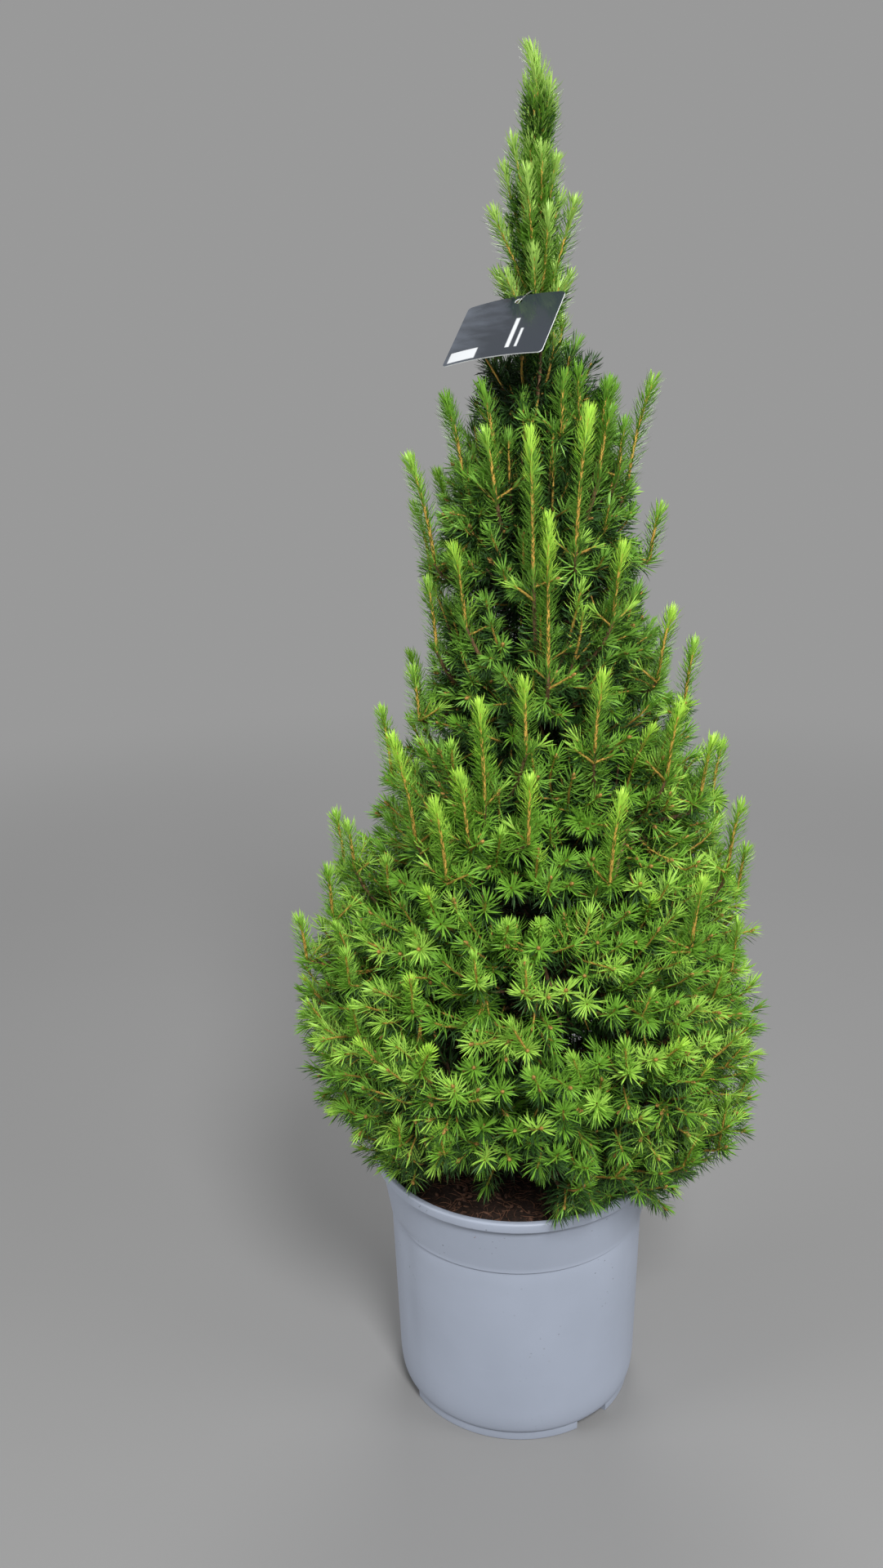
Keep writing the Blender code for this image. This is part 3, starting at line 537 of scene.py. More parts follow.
def make_pot():
    """The pot's shell."""
    bm = turned(pot_section(), POT_SEGMENTS)
    tall = [edge for edge in bm.edges
            if abs(edge.verts[0].co.z - edge.verts[1].co.z) > 30 * MM and edge.verts[0].co.xy.length > 0.1]
    bmesh.ops.subdivide_edges(bm, edges=tall, cuts=WALL_CUTS, use_grid_fill=True)
    shape_wall(bm)
    pot = link_piece("pot_shell", mesh_of("pot_shell", bm), ["pot"])
    thick = (CHANNEL_INNER_RADIUS - WALL, FOOT_RADIUS - 0.9 * MM, 1 * MM, CHANNEL_ROOF, CHANNEL_WALL_TURN)
    bumps = [helper_object("bump", channel(azimuth, *thick)) for azimuth in CHANNEL_AZIMUTHS]
    joined(pot, bumps, "UNION")
    hollow = (CHANNEL_INNER_RADIUS, RIM_RADIUS, -5 * MM, FOOT_HEIGHT - 1 * MM, 0)
    cutters = [helper_object("channel", channel(azimuth, *hollow)) for azimuth in CHANNEL_AZIMUTHS]
    cutters += [helper_object("drain", drain(azimuth)) for azimuth in CHANNEL_AZIMUTHS]
    joined(pot, cutters, "DIFFERENCE")
    pot.data.shade_smooth()
    pot.data.set_sharp_from_angle(angle=POT_SHARP)
    return pot


pot = make_pot()

# %% [markdown]
# The plastic is a pale blue grey that was coloured right through, so its colour hardly changes. What tells
# the eye that it is a used pot are specks of compost, mostly under the lip, faint scuffs that run round it
# and a soft, uneven sheen. Each of these is a pattern in the object's own metres, so its scale is true.

# %% The pot's plastic
POT_COLOUR = (0.352, 0.392, 0.479)
POT_SHADE = (0.322, 0.360, 0.440)
SPECK_COLOUR = (0.035, 0.028, 0.022)
SCUFF_COLOUR = (0.55, 0.58, 0.63)
BLACK = (0, 0, 0)
WHITE = (1, 1, 1)


def pot_material():
    """Matt blue grey plastic with cloudy tone, specks and scuffs."""
    material, tree, shader = start_material("pot_plastic_used", POT_COLOUR, 0.5)
    place = object_place(tree)
    cloud = noise_at(tree, place, 14, 3)
    colour = ramp(tree, cloud, ((0.3, POT_SHADE), (0.7, POT_COLOUR)))
    cells = add_node(tree, "ShaderNodeTexVoronoi", {"Vector": place, "Scale": 190.0, "Randomness": 1.0})
    dots = ramp(tree, cells.outputs["Distance"], ((0.10, WHITE), (0.17, BLACK)))
    patches = ramp(tree, noise_at(tree, place, 30, 2), ((0.56, BLACK), (0.66, WHITE)))
    specks = blend_colours(tree, 1.0, dots, patches, "MULTIPLY")
    height = add_node(tree, "ShaderNodeSeparateXYZ", {"Vector": place}).outputs["Z"]
    amount = reckon(tree, "MULTIPLY", specks, remap(tree, height, (0.05, 0.21), (0.10, 0.75)))
    colour = blend_colours(tree, amount, colour, SPECK_COLOUR)
    scuffs = noise_at(tree, object_place(tree, (5, 5, 60)), 9, 6, 0.7)
    pale = ramp(tree, scuffs, ((0.62, BLACK), (0.74, (0.16, 0.16, 0.16))))
    paint(tree, shader, blend_colours(tree, pale, colour, SCUFF_COLOUR))
    sheen = remap(tree, noise_at(tree, place, 25, 5), outputs=(0.42, 0.60))
    tree.links.new(sheen, shader.inputs["Roughness"])
    bump(tree, shader, noise_at(tree, place, 160, 4), 0.12 * MM, 0.5)
    return material


pot.data.materials.clear()
pot.data.materials.append(pot_material())
print("pot faces", len(pot.data.polygons))

# %% [markdown]
# ## The soil
#
# Peat compost is crumbs, fibres and bits of bark. The crumbs are relief: a disc with many rings, moved up
# and down by noise of three sizes. The fibres and chips are separate slivers, lying loose on top. They are
# many and tiny, so they are built from arrays in one go and not one by one.

# %% The soil's mesh
SOIL_RINGS = 46
SOIL_SEGMENTS = 150
SOIL_CLEARANCE = 0.45 * MM
SOIL_WALL_TURN = radians(2.45)
CRUMB = 3.2 * MM
CRUMB_SINK = 1.2 * MM
Waves = namedtuple("Waves", "per_metre offset share")
CRUMB_WAVES = (Waves(28, 3, 0.45), Waves(130, 9, 0.45), Waves(420, 5, 0.22))


def soil_top(x, y):
    """The height of the soil's surface at a place, with crumbs and hollows."""
    relief = sum(wave.share * noise.noise(Vector((x * wave.per_metre, y * wave.per_metre, wave.offset)))
                 for wave in CRUMB_WAVES)
    return SOIL_HEIGHT + CRUMB * relief - CRUMB_SINK


def make_soil():
    """The compost that fills the pot, crumbly on top."""
    edge = RIM_RADIUS - RIM_OVERHANG - WALL - 3.2 * MM
    profile = [(0, FLOOR + GAP), (FOOT_RADIUS - 3 * MM, FLOOR + GAP),
               (FOOT_RADIUS - 2.4 * MM, FLOOR_EDGE_HEIGHT),
               (HEEL_RADIUS - WALL - SOIL_CLEARANCE, HEEL_HEIGHT),
               (COLLAR_RADIUS - WALL - 1.5 * MM, COLLAR_HEIGHT), (edge, SOIL_HEIGHT - 6 * MM)]
    profile += [(edge * (SOIL_RINGS - ring) / SOIL_RINGS, SOIL_HEIGHT) for ring in range(SOIL_RINGS + 1)]
    bm = turned(profile, SOIL_SEGMENTS)
    for vert in bm.verts:
        if vert.co.z > SOIL_HEIGHT - 1 * MM:
            vert.co.z = soil_top(vert.co.x, vert.co.y)
    soil = link_piece("compost", mesh_of("compost", bm), ["soil"])
    room = (CHANNEL_INNER_RADIUS - WALL - SOIL_CLEARANCE, RIM_RADIUS, -1 * MM, CHANNEL_ROOF + SOIL_CLEARANCE,
            SOIL_WALL_TURN)
    hollows = [helper_object("hollow", channel(azimuth, *room)) for azimuth in CHANNEL_AZIMUTHS]
    joined(soil, hollows, "DIFFERENCE")
    soil.data.shade_smooth()
    return soil


def soil_material():
    """Dark peat with redder fibres and damp crumbs."""
    material, tree, shader = start_material("damp_peat", (0.03, 0.016, 0.010), 0.92)
    place = object_place(tree)
    damp = ((0.30, (0.007, 0.004, 0.003)), (0.52, (0.032, 0.016, 0.010)), (0.75, (0.105, 0.050, 0.030)))
    crumbs = ramp(tree, noise_at(tree, place, 260, 6, 0.7), damp)
    fibres = noise_at(tree, object_place(tree, (1, 6, 1)), 190, 5, 0.8)
    red = ramp(tree, fibres, ((0.60, BLACK), (0.72, (0.8, 0.8, 0.8))))
    paint(tree, shader, blend_colours(tree, red, crumbs, (0.135, 0.055, 0.030)))
    bump(tree, shader, noise_at(tree, place, 420, 6, 0.7), 1.2 * MM, 0.9)
    return material


soil = make_soil()
soil.data.materials.clear()
soil.data.materials.append(soil_material())

# %% [markdown]
# ## The trunk and where the crown lies round it
#
# Every limb starts from the trunk, so its centre line and its radius are functions of the height: an even
# taper, a flare at the soil and a slight lean. The crown's reach is a function too. From here on a place in
# the crown is an azimuth, a radius and a height.

# %% Functions for trunk and crown
def trunk_centre(height):
    """The point of the trunk's axis at a height."""
    share = min(1, max(0, (height - SOIL_HEIGHT) / LEAN_HEIGHT))
    across = TRUNK_FOOT_OFFSET + TRUNK_LEAN * sin(share * pi / 2)
    sway = max(0, height - SWAY_HEIGHT) / (CROWN_TOP - SWAY_HEIGHT)
    return Vector((across - TIP_SWAY * sway ** 2, 0, height))


def trunk_radius(height):
    """The trunk's radius at a height."""
    share = min(1, max(0, (height - TRUNK_FOOT) / (TRUNK_TOP - TRUNK_FOOT)))
    taper = TRUNK_BASE_RADIUS + (TRUNK_TOP_RADIUS - TRUNK_BASE_RADIUS) * share ** 0.8
    return taper + FLARE_RADIUS * exp(-max(0, height - TRUNK_FOOT) / FLARE_HEIGHT)


def crown_reach(height, azimuth):
    """How far the crown reaches from the trunk at a height and an azimuth."""
    low = CROWN_OUTLINE[0]
    for high in CROWN_OUTLINE[1:]:
        if height <= high[0]:
            break
        low = high
    share = min(1, max(0, (height - low[0]) / max(high[0] - low[0], MM)))
    left = low[1] + (high[1] - low[1]) * share
    right = low[2] + (high[2] - low[2]) * share
    reach = left + (right - left) * (1 + sin(azimuth)) / 2
    lack = min(1, max(0, (FRONT_HEIGHT - height) / (FRONT_HEIGHT - POT_HEIGHT)))
    return reach * (1 - (1 - FRONT_SHARE) * lack * max(0, cos(azimuth)) ** 2)


def crown_point(azimuth, radius, height):
    """The point at an azimuth and a radius from the trunk's axis."""
    return trunk_centre(height) + Vector((radius * sin(azimuth), -radius * cos(azimuth), 0))


def crown_place(point):
    """A point's azimuth and radius from the trunk's axis."""
    offset = point - trunk_centre(point.z)
    return atan2(offset.x, -offset.y), hypot(offset.x, offset.y)


def level_height(level, radius):
    """The height of a level between two tiers at a radius."""
    height, rise = LEVELS[level]
    return height + rise * radius


reaches = [round(crown_reach(CROWN_TOP / 2, side * pi / 2), 3) for side in (-1, 1)]
print("reach at half height, left and right:", reaches)

# %% [markdown]
# Young spruce bark is thin and scaly, with small leaf cushions left where needles have dropped. We extrude
# the trunk ring by ring and push each point in or out by noise that is stretched along the stem, so the
# scales stand in the outline as well as in the shading.

# %% The trunk's mesh
TRUNK_SIDES = 30
TRUNK_RINGS = 260
RING_GATHER = 1.15
BARK_DEPTH = 0.7 * MM
BARK_SCALES = Vector((420, 420, 130))
BARK_KNOBS = Vector((160, 160, 60))
KNOB_OFFSET = Vector((0, 0, 7))


def limb_shape(points, radii, sides, relief):
    """A closed tapering tube through points, extruded ring by ring, with bark scales in its surface."""
    bm = bmesh.new()
    ring = bmesh.ops.create_circle(bm, cap_ends=True, segments=sides, radius=1)["verts"]
    flat = [vert.co.copy() for vert in ring]
    face = bm.faces[:][0]
    turn = (points[1] - points[0]).to_track_quat("Z", "Y").to_matrix()
    for step, (point, radius) in enumerate(zip(points, radii)):
        if step:
            made = bmesh.ops.extrude_face_region(bm, geom=[face])["geom"]
            if step > 1:
                bmesh.ops.delete(bm, geom=[face], context="FACES_ONLY")
            face = next(item for item in made if isinstance(item, bmesh.types.BMFace))
            ring = list(face.verts)
            way = (points[min(len(points) - 1, step + 1)] - points[step - 1]).normalized()
            turn = (turn.col[2].rotation_difference(way)).to_matrix() @ turn
        for vert, place in zip(ring, flat):
            spot = point + turn @ (place * radius)
            scale = noise.noise(spot * BARK_SCALES)
            knob = noise.noise(spot * BARK_KNOBS + KNOB_OFFSET)
            grown = radius + relief * (0.6 * scale + 0.5 * knob)
            vert.co = point + turn @ (place * grown)
    bm.normal_update()
    bmesh.ops.recalc_face_normals(bm, faces=bm.faces)
    return bm


def make_trunk():
    """The whole trunk, from the soil to its tip."""
    shares = [(step / TRUNK_RINGS) ** RING_GATHER for step in range(TRUNK_RINGS + 1)]
    heights = [TRUNK_FOOT + (TRUNK_TOP - TRUNK_FOOT) * share for share in shares]
    points = [trunk_centre(height) for height in heights]
    radii = [trunk_radius(height) for height in heights]
    return limb_shape(points, radii, TRUNK_SIDES, BARK_DEPTH)


def bark_material(name, dark, light, scale):
    """Scaly bark between two colours."""
    material, tree, shader = start_material(name, light, 0.85)
    place = object_place(tree, (1, 1, 0.35))
    scales = noise_at(tree, place, scale, 6, 0.65)
    edges = [min(1, part * 1.5) for part in light]
    paint(tree, shader, ramp(tree, scales, ((0.32, dark), (0.58, light), (0.80, edges))))
    bump(tree, shader, scales, 0.5 * MM, 0.8)
    return material


old_bark = bark_material("old_bark", (0.030, 0.016, 0.010), (0.110, 0.058, 0.034), 320)
link_piece("trunk_bark", mesh_of("trunk_bark", make_trunk()), ["trunk"], [old_bark])

# %% [markdown]
# ## The space of one mass of foliage
#
# The solids share the crown out among masses. Each keeps to a sector of azimuth between two levels that
# rise away from the trunk like shallow funnels. The same small class is written again here, because the
# fine growth has to lie where the plain solids lie.

# %% The masses
class Mass:
    """The space of one mass of foliage, and the limb that runs into it."""

    def __init__(self, level, index):
        self.level = level
        self.tier = TIERS[level]
        self.name = f"foliage_{level + 1}_{index + 1}"
        self.half = pi / self.tier.masses
        self.azimuth = self.tier.turn + index * 2 * self.half
        self.has_bough = level < BOUGH_TIERS
        middle = self.height(0, self.tier.stem[0])
        self.root = trunk_radius(middle) + GAP
        self.inner = self.root
        if self.has_bough:
            self.inner = BOUGH_SHARE * crown_reach(middle, self.azimuth)
        self.outer = self.outer_radius(0, 0.5)

    def height(self, radius, share):
        """The height at a share of the way from the tier's lower level to its upper one."""
        low = level_height(self.level, radius)
        return low + (level_height(self.level + 1, radius) - low) * share

    def point(self, across, radius, share):
        """The point at a place across the sector, a radius and a share of the height."""
        return crown_point(self.azimuth + across * self.half, radius, self.height(radius, share))

    def outer_radius(self, across, share):
        """The radius at which a line of the mass meets the crown's outline."""
        azimuth = self.azimuth + across * self.half
        radius = crown_reach(self.height(0, share), azimuth)
        for _ in range(12):
            radius = (radius + crown_reach(self.height(radius, share), azimuth)) / 2
        return radius * (1 - SIDE_FALL * across ** 2)

    def on_stem(self, radius):
        """A radius kept between the two ends of the mass's stem."""
        return min(STEM_SHARE * self.outer - 2 * MM, max(self.inner + 3 * MM, radius))

    def turn_to(self, azimuth):
        """How far an azimuth lies from the middle of the mass, at most half a turn either way."""
        return (azimuth - self.azimuth + pi) % (2 * pi) - pi

    def stem_point(self, radius):
        """The point of the mass's stem at a radius."""
        start, end = self.tier.stem
        share = (radius - self.inner) / (STEM_SHARE * self.outer - self.inner)
        return self.point(0, radius, start + (end - start) * max(0, share))


masses = [Mass(level, index) for level, tier in enumerate(TIERS) for index in range(tier.masses)]
print("widest mass reaches", round(max(mass.outer for mass in masses), 3), "m")

# %% [markdown]
# A bough and the stem that goes on from it are one branch on the real tree, so here they are one tapering
# limb, rooted inside the trunk's bark. All of them are joined to one piece, which stands for every bough
# of the frame.

# %% The boughs
BOUGH_SIDES = 10
BOUGH_RINGS = 26
BOUGH_BARK = 0.35 * MM
BOUGH_SINK = 1.5 * MM
BOUGH_TIP_RADIUS = 1.1 * MM
BOUGH_WANDER = 3 * MM
BOUGH_WAVES = 30
SPIRE_STEM_SHARE = 0.30


def bough_shape(mass):
    """The limb of a mass, from inside the trunk to the end of its stem."""
    start = mass.root - GAP - BOUGH_SINK
    end = (STEM_SHARE if mass.level < len(TIERS) - 1 else SPIRE_STEM_SHARE) * mass.outer
    thick = BOUGH_RADIUS * (1 - BOUGH_THINNING * mass.level) if mass.has_bough else STEM_RADIUS * FINE_STEM
    points, radii = [], []
    for ring in range(BOUGH_RINGS + 1):
        share = ring / BOUGH_RINGS
        radius = start + (end - start) * share
        point = mass.point(0, radius, mass.tier.stem[0]) if radius < mass.inner else mass.stem_point(radius)
        wander = noise.noise(Vector((radius * BOUGH_WAVES, mass.azimuth, mass.level))) * BOUGH_WANDER * share
        points.append(point + Vector((0, 0, wander)))
        radii.append(thick + (BOUGH_TIP_RADIUS - thick) * share ** 0.8)
    return limb_shape(points, radii, BOUGH_SIDES, BOUGH_BARK)


def joined_shapes(name, shapes):
    """One mesh from several bmeshes."""
    whole = bmesh.new()
    for shape in shapes:
        part = bpy.data.meshes.new("part")
        shape.to_mesh(part)
        shape.free()
        whole.from_mesh(part)
        bpy.data.meshes.remove(part)
    return mesh_of(name, whole)


bough_nodes = [node for node in NODES if node.startswith("bough")]
bough_mesh = joined_shapes("bough_bark", [bough_shape(mass) for mass in masses])
link_piece("bough_bark", bough_mesh, bough_nodes, [old_bark])

# %% [markdown]
# ## Needles from arrays
#
# A needle is a thin blade: five points and three faces. Hundreds of thousands of them would take an operator
# for ever, but array arithmetic makes all the needles of a shoot in one step. Every bundle collects such
# arrays and becomes one mesh, or a few, at the end.

# %% Bundles of small shapes
class Bundle:
    """Collects many small shapes and turns them into a few joined meshes."""

    def __init__(self, faces):
        self.faces = np.array(faces, dtype=np.int32)
        self.points = []

    def add(self, points):
        """Takes an array of shapes, points of a shape, and three coordinates."""
        if len(points):
            self.points.append(points)

    def triangles(self):
        """How many triangles the bundle holds."""
        return sum(len(points) for points in self.points) * len(self.faces)

    def meshes(self, name, most):
        """Joined meshes of at most so many triangles each."""
        points = np.concatenate(self.points)
        parts = -(-self.triangles() // most)
        made = []
        for number, part in enumerate(np.array_split(points, parts)):
            starts = np.arange(len(part), dtype=np.int32)[:, None, None] * part.shape[1]
            faces = (self.faces[None] + starts).reshape(-1, 3)
            label = name if parts == 1 else f"{name}_{number + 1}"
            made.append(mesh_from_arrays(label, part.reshape(-1, 3), faces))
        return made


def mesh_from_arrays(name, points, faces):
    """A smooth mesh from an array of points and an array of triangles."""
    mesh = bpy.data.meshes.new(name)
    mesh.vertices.add(len(points))
    mesh.vertices.foreach_set("co", points.astype(np.float32).ravel())
    mesh.loops.add(faces.size)
    mesh.loops.foreach_set("vertex_index", faces.ravel())
    mesh.polygons.add(len(faces))
    mesh.polygons.foreach_set("loop_start", np.arange(0, faces.size, 3, dtype=np.int32))
    mesh.update(calc_edges=True)
    mesh.shade_smooth()
    return mesh


def unit(vectors):
    """Vectors made one long."""
    return vectors / np.maximum(np.linalg.norm(vectors, axis=-1, keepdims=True), 1e-9)


# %% [markdown]
# The next cell is the needle itself. It keeps its width over most of its length and then ends in a point,
# and it leaves the stem in one direction and ends in another, so it has a slight bow. The blade's back
# faces away from the stem. The dull needles of the shade taper both ways and have only two faces.

# %% One array of needles
BLADE_FACES = ((0, 1, 2), (0, 2, 4), (4, 2, 3))
KITE_FACES = ((0, 1, 2), (0, 2, 3))
KITE_POINTS = (0, 2, 3, 4)
SHOULDER = 0.66
FOOT_WIDTH = 0.74


def needle_shapes(roots, leaving, ending, lengths, widths, outward):
    """Needles as an array: two points at the root, one shoulder, the tip and the other shoulder."""
    middle = roots + leaving * (lengths * SHOULDER)[:, None]
    tips = middle + ending * (lengths * (1 - SHOULDER))[:, None]
    chord = unit(tips - roots)
    side = unit(np.cross(chord, outward))
    half = side * (widths / 2)[:, None]
    foot = half * FOOT_WIDTH
    return np.stack((roots - foot, roots + foot, middle + half, tips, middle - half), axis=1)


print("triangles of a blade:", len(BLADE_FACES), "and of a dull needle:", len(KITE_FACES))

# %% [markdown]
# Needles stand round a shoot in a spiral, each turned by the golden angle from the last. A habit says how
# long and how close they are, how far they stand out at the shoot's foot and at its tip, and how much they
# gather towards the tip, which leaves some of the orange stem in sight at the foot. Most side shoots end in
# an open star round their bud. This year's fresh ends are closed like a brush. Old wood has fewer needles
# that stand out widely. On a level shoot they comb downwards a little. The needles of a shoot's lower side
# count as nearer to its foot and those of its upper side as nearer to its tip, so the foot's darker tint
# falls below and the tip's lighter tint above: painted shade and painted light, as from a lamp overhead.

# %% The needles of a shoot
GOLDEN_TURN = radians(137.5)
NEEDLE_WIDTH = 0.94 * MM
INNER_WIDTH = 1.5 * MM
Habit = namedtuple("Habit", "length per_metre foot tip gather", defaults=(1.25,))
STAR = Habit(14.8 * MM, 2050, radians(80), radians(44), 1.55)
TUFT = Habit(12.6 * MM, 2600, radians(70), radians(36))
BRUSH = Habit(11.0 * MM, 3600, radians(64), radians(30))
OLD = Habit(15.5 * MM, 950, radians(78), radians(62))
INNER = Habit(17.0 * MM, 850, radians(72), radians(45))
CLOSING = 2.2
DROOP = 0.26
FORWARD_CURVE = 0.40
DOME = 0.85
DOME_START = 10
SAG = 0.20
TIP_SHORTENING = 0.12
FOOT_SHORTENING = 0.25
FOOT_STRETCH = 8
ROOT_SINK = 0.6
TURN_SCATTER = 0.25
ANGLE_SCATTER = 0.11
LENGTH_SCATTER = 0.09
WIDTH_RANGE = (0.85, 1.15)
TOP_LIGHT_GAIN = 0.34
TINT_SCATTER = 0.14
DOWN = np.array((0, 0, -1))


def along(path, shares):
    """Points and directions at shares of a path's length."""
    steps = np.linalg.norm(np.diff(path, axis=0), axis=1)
    reached = np.concatenate(([0], np.cumsum(steps))) / steps.sum()
    points = np.stack([np.interp(shares, reached, path[:, axis]) for axis in range(3)], axis=1)
    segment = np.clip(np.searchsorted(reached, shares, side="right") - 1, 0, len(steps) - 1)
    return points, unit(np.diff(path, axis=0))[segment]


def length_of(path):
    """A path's length."""
    return np.linalg.norm(np.diff(path, axis=0), axis=1).sum()


def shoot_needles(path, habit, girth, rng, width):
    """All the needles along a path, with how far along and how well lit each stands."""
    count = max(4, int(length_of(path) * habit.per_metre))
    share = 1 - (1 - (np.arange(count) + rng.uniform(0, 1, count)) / count) ** habit.gather
    points, axis = along(path, share)
    across = unit(np.cross(axis, (0.03, 0.02, 1)))
    over = np.cross(across, axis)
    turn = np.arange(count) * GOLDEN_TURN + rng.normal(0, TURN_SCATTER, count) + rng.uniform(0, 2 * pi)
    radial = across * np.cos(turn)[:, None] + over * np.sin(turn)[:, None]
    level = 1 - np.abs(axis[:, 2:3])
    outward = unit(radial + DROOP * level * DOWN)
    closing = share[:, None] ** CLOSING
    angle = habit.foot + (habit.tip - habit.foot) * closing + rng.normal(0, ANGLE_SCATTER, (count, 1))
    angle *= 1 - DOME * rng.uniform(0, 1, (count, 1)) * share[:, None] ** DOME_START
    leaving = unit(outward * np.sin(angle) + axis * np.cos(angle))
    ending = unit(leaving + FORWARD_CURVE * axis * (1 - level) + SAG * level * DOWN)
    lengths = habit.length * rng.normal(1, LENGTH_SCATTER, count) * (1 - TIP_SHORTENING * share ** 4)
    lengths *= 1 - FOOT_SHORTENING * np.exp(-share * FOOT_STRETCH)
    widths = width * rng.uniform(*WIDTH_RANGE, count)
    roots = points + radial * girth * ROOT_SINK
    # Painted light and shade: upward needles lean to the tip's lighter tint, downward ones to the foot's.
    lit = share + TOP_LIGHT_GAIN * outward[:, 2] + rng.normal(0, TINT_SCATTER, count)
    return needle_shapes(roots, leaving, ending, lengths, widths, outward), lit


print("needles on five centimetres of star and of brush:",
      [round(0.05 * habit.per_metre) for habit in (STAR, BRUSH)])

# %% [markdown]
# Colour goes out by spray. The deep inside of the crown is a dull dark green, partly for its older needles
# and mostly as painted shade. The outer shoots are fresher, and this year's growth at the tips is almost
# lime. Most shoots take a darker tint at the foot than at the tip: partly for that fresh growth, partly as
# painted shade under their neighbours. Low down, where the crown stands in its own shade, the duller tints
# are dealt more often, which is painted shade too. In the upper crown the green is a little bluer and deeper,
# and the spire above the card is pale again. Every tint is a plain colour of its own, so no pattern has to
# find its way to a needle.
#
# Each part of the crown has a short list of choices: a limit, the tint of a shoot's foot and that of its
# tip. A chance, part luck and part slow noise, falls under one of the limits. The noise gathers like shoots
# into clumps, as on the real plant.

# %% Tints
# The dark tints shade, deep and cool_deep are mostly painted shade: the crown's inside and shoots' feet.
Tint = namedtuple("Tint", "colour roughness faces")
TINTS = {
    "shade": Tint((0.007, 0.022, 0.005), 0.60, KITE_FACES),
    "deep": Tint((0.024, 0.074, 0.010), 0.55, KITE_FACES),
    "cool_deep": Tint((0.028, 0.080, 0.015), 0.55, KITE_FACES),
    "leaf": Tint((0.170, 0.378, 0.035), 0.50, BLADE_FACES),
    "cool_leaf": Tint((0.176, 0.372, 0.047), 0.50, BLADE_FACES),
    "bright": Tint((0.345, 0.605, 0.080), 0.48, BLADE_FACES),
    "pale": Tint((0.380, 0.600, 0.120), 0.48, BLADE_FACES),
    "lime": Tint((0.440, 0.720, 0.080), 0.52, BLADE_FACES),
}
needles = {name: Bundle(tint.faces) for name, tint in TINTS.items()}
UPPER_CROWN = 600 * MM
NECK_SHADE = 790 * MM
SPIRE_FOOT = 885 * MM
BORDER_SCATTER = 45 * MM
INSIDE = 0.36
UNDER = 0.19
CLUMP_SCALE = 19
CLUMP_SHARE = 0.55
LUCK_SHARE = 0.45
LOW_SHADE = 0.75
LOW_SHADE_TOP = 400 * MM
ALWAYS = 9
LOWER_TINTS = ((0.36, "deep", "leaf"), (0.66, "deep", "bright"), (ALWAYS, "leaf", "bright"))
UPPER_TINTS = ((0.28, "cool_deep", "cool_leaf"), (0.50, "cool_deep", "leaf"), (ALWAYS, "cool_deep", "bright"))
NECK_TINTS = ((0.60, "cool_deep", "cool_leaf"), (ALWAYS, "cool_deep", "leaf"))
SPIRE_TINTS = ((0.45, "cool_deep", "leaf"), (ALWAYS, "cool_leaf", "pale"))


def low_shade(height):
    """How much duller the crown is low down: the full amount at the ground and nothing past a height."""
    return LOW_SHADE * max(0, 1 - height / LOW_SHADE_TOP)


def tints_of(place, rng):
    """The tints of a shoot's foot and tip at a place in the crown, from a fresh random draw."""
    azimuth, radius = crown_place(place)
    depth = 1 - radius / max(crown_reach(place.z, azimuth), 1 * MM)
    height = place.z + rng.normal(0, BORDER_SCATTER)
    chance = LUCK_SHARE * rng.uniform() + CLUMP_SHARE * (0.5 + noise.noise(place * CLUMP_SCALE))
    # Painted shade: darker choices low down, and darker tints deep in the crown, partly for older needles.
    chance -= low_shade(place.z)
    if place.z > SPIRE_FOOT:
        choices = SPIRE_TINTS
    elif depth > INSIDE:
        return "shade", "deep"
    elif depth > UNDER:
        return ("cool_deep", "cool_leaf") if height > UPPER_CROWN else ("deep", "leaf")
    elif place.z > NECK_SHADE:
        choices = NECK_TINTS
    else:
        choices = UPPER_TINTS if height > UPPER_CROWN else LOWER_TINTS
    return next((foot, tip) for limit, foot, tip in choices if chance < limit)


print("tints:", list(TINTS))

# %% [markdown]
# Some places have to stay free. Needles don't enter the soil, the pot's wall or the card, whose place is
# given here by one corner and its two edges. Each array of needles is tested in one go, and those that
# would stick in something are left out when the rest are dealt to their bundles.

# %% Where nothing may grow
CARD_CORNER = Vector((-52, -44, 877.5)) * MM
CARD_ALONG = Vector((66.6, -38.0, 8.6)) * MM
CARD_UP = Vector((20.7, 45.5, 40.5)) * MM
CARD_ROOM = 2.0 * MM
CARD_CLEARANCE = 4.5 * MM
SOIL_ROOM = 1.5 * MM
RIM_ROOM = 0.6 * MM


def card_frame():
    """The card's unit vectors along it, up it and out of its face, with its length and height."""
    forth = CARD_ALONG.normalized()
    out = CARD_ALONG.cross(CARD_UP).normalized()
    up = out.cross(forth)
    return forth, up, out, CARD_ALONG.length, CARD_UP.dot(up)


def blocked(points):
    """Which of an array of points lie in the soil, the pot's wall, the card or outside the solids' box."""
    radius = np.hypot(points[..., 0], points[..., 1])
    height = points[..., 2]
    inside = radius < RIM_RADIUS - RIM_OVERHANG - WALL - 1 * MM
    wall = ~inside & (radius < RIM_RADIUS + 1 * MM)
    in_pot = inside & (height < SOIL_HEIGHT + SOIL_ROOM) | wall & (height < POT_HEIGHT + RIM_ROOM)
    forth, up, out, length, high = card_frame()
    right, above, lift = ((points - np.array(CARD_CORNER)) @ np.array(way) for way in (forth, up, out))
    in_card = (right > -CARD_ROOM) & (right < length + CARD_ROOM) & (above > -CARD_ROOM)
    in_card &= (above < high + CARD_ROOM) & (np.abs(lift) < CARD_CLEARANCE)
    outside = (points < np.array(solid_bounds[0])) | (points > np.array(solid_bounds[1]))
    return in_pot | in_card | outside.any(axis=-1)


def deal_needles(shapes, share, tints, turn_at):
    """Puts a path's needles in the bundles of two tints: one for its foot, and one past a share of it."""
    free = ~blocked(shapes[:, (2, 3)]).any(axis=1)
    for tint, chosen in ((tints[0], share <= turn_at), (tints[1], share > turn_at)):
        part = shapes[free & chosen]
        needles[tint].add(part[:, KITE_POINTS] if TINTS[tint].faces == KITE_FACES else part)


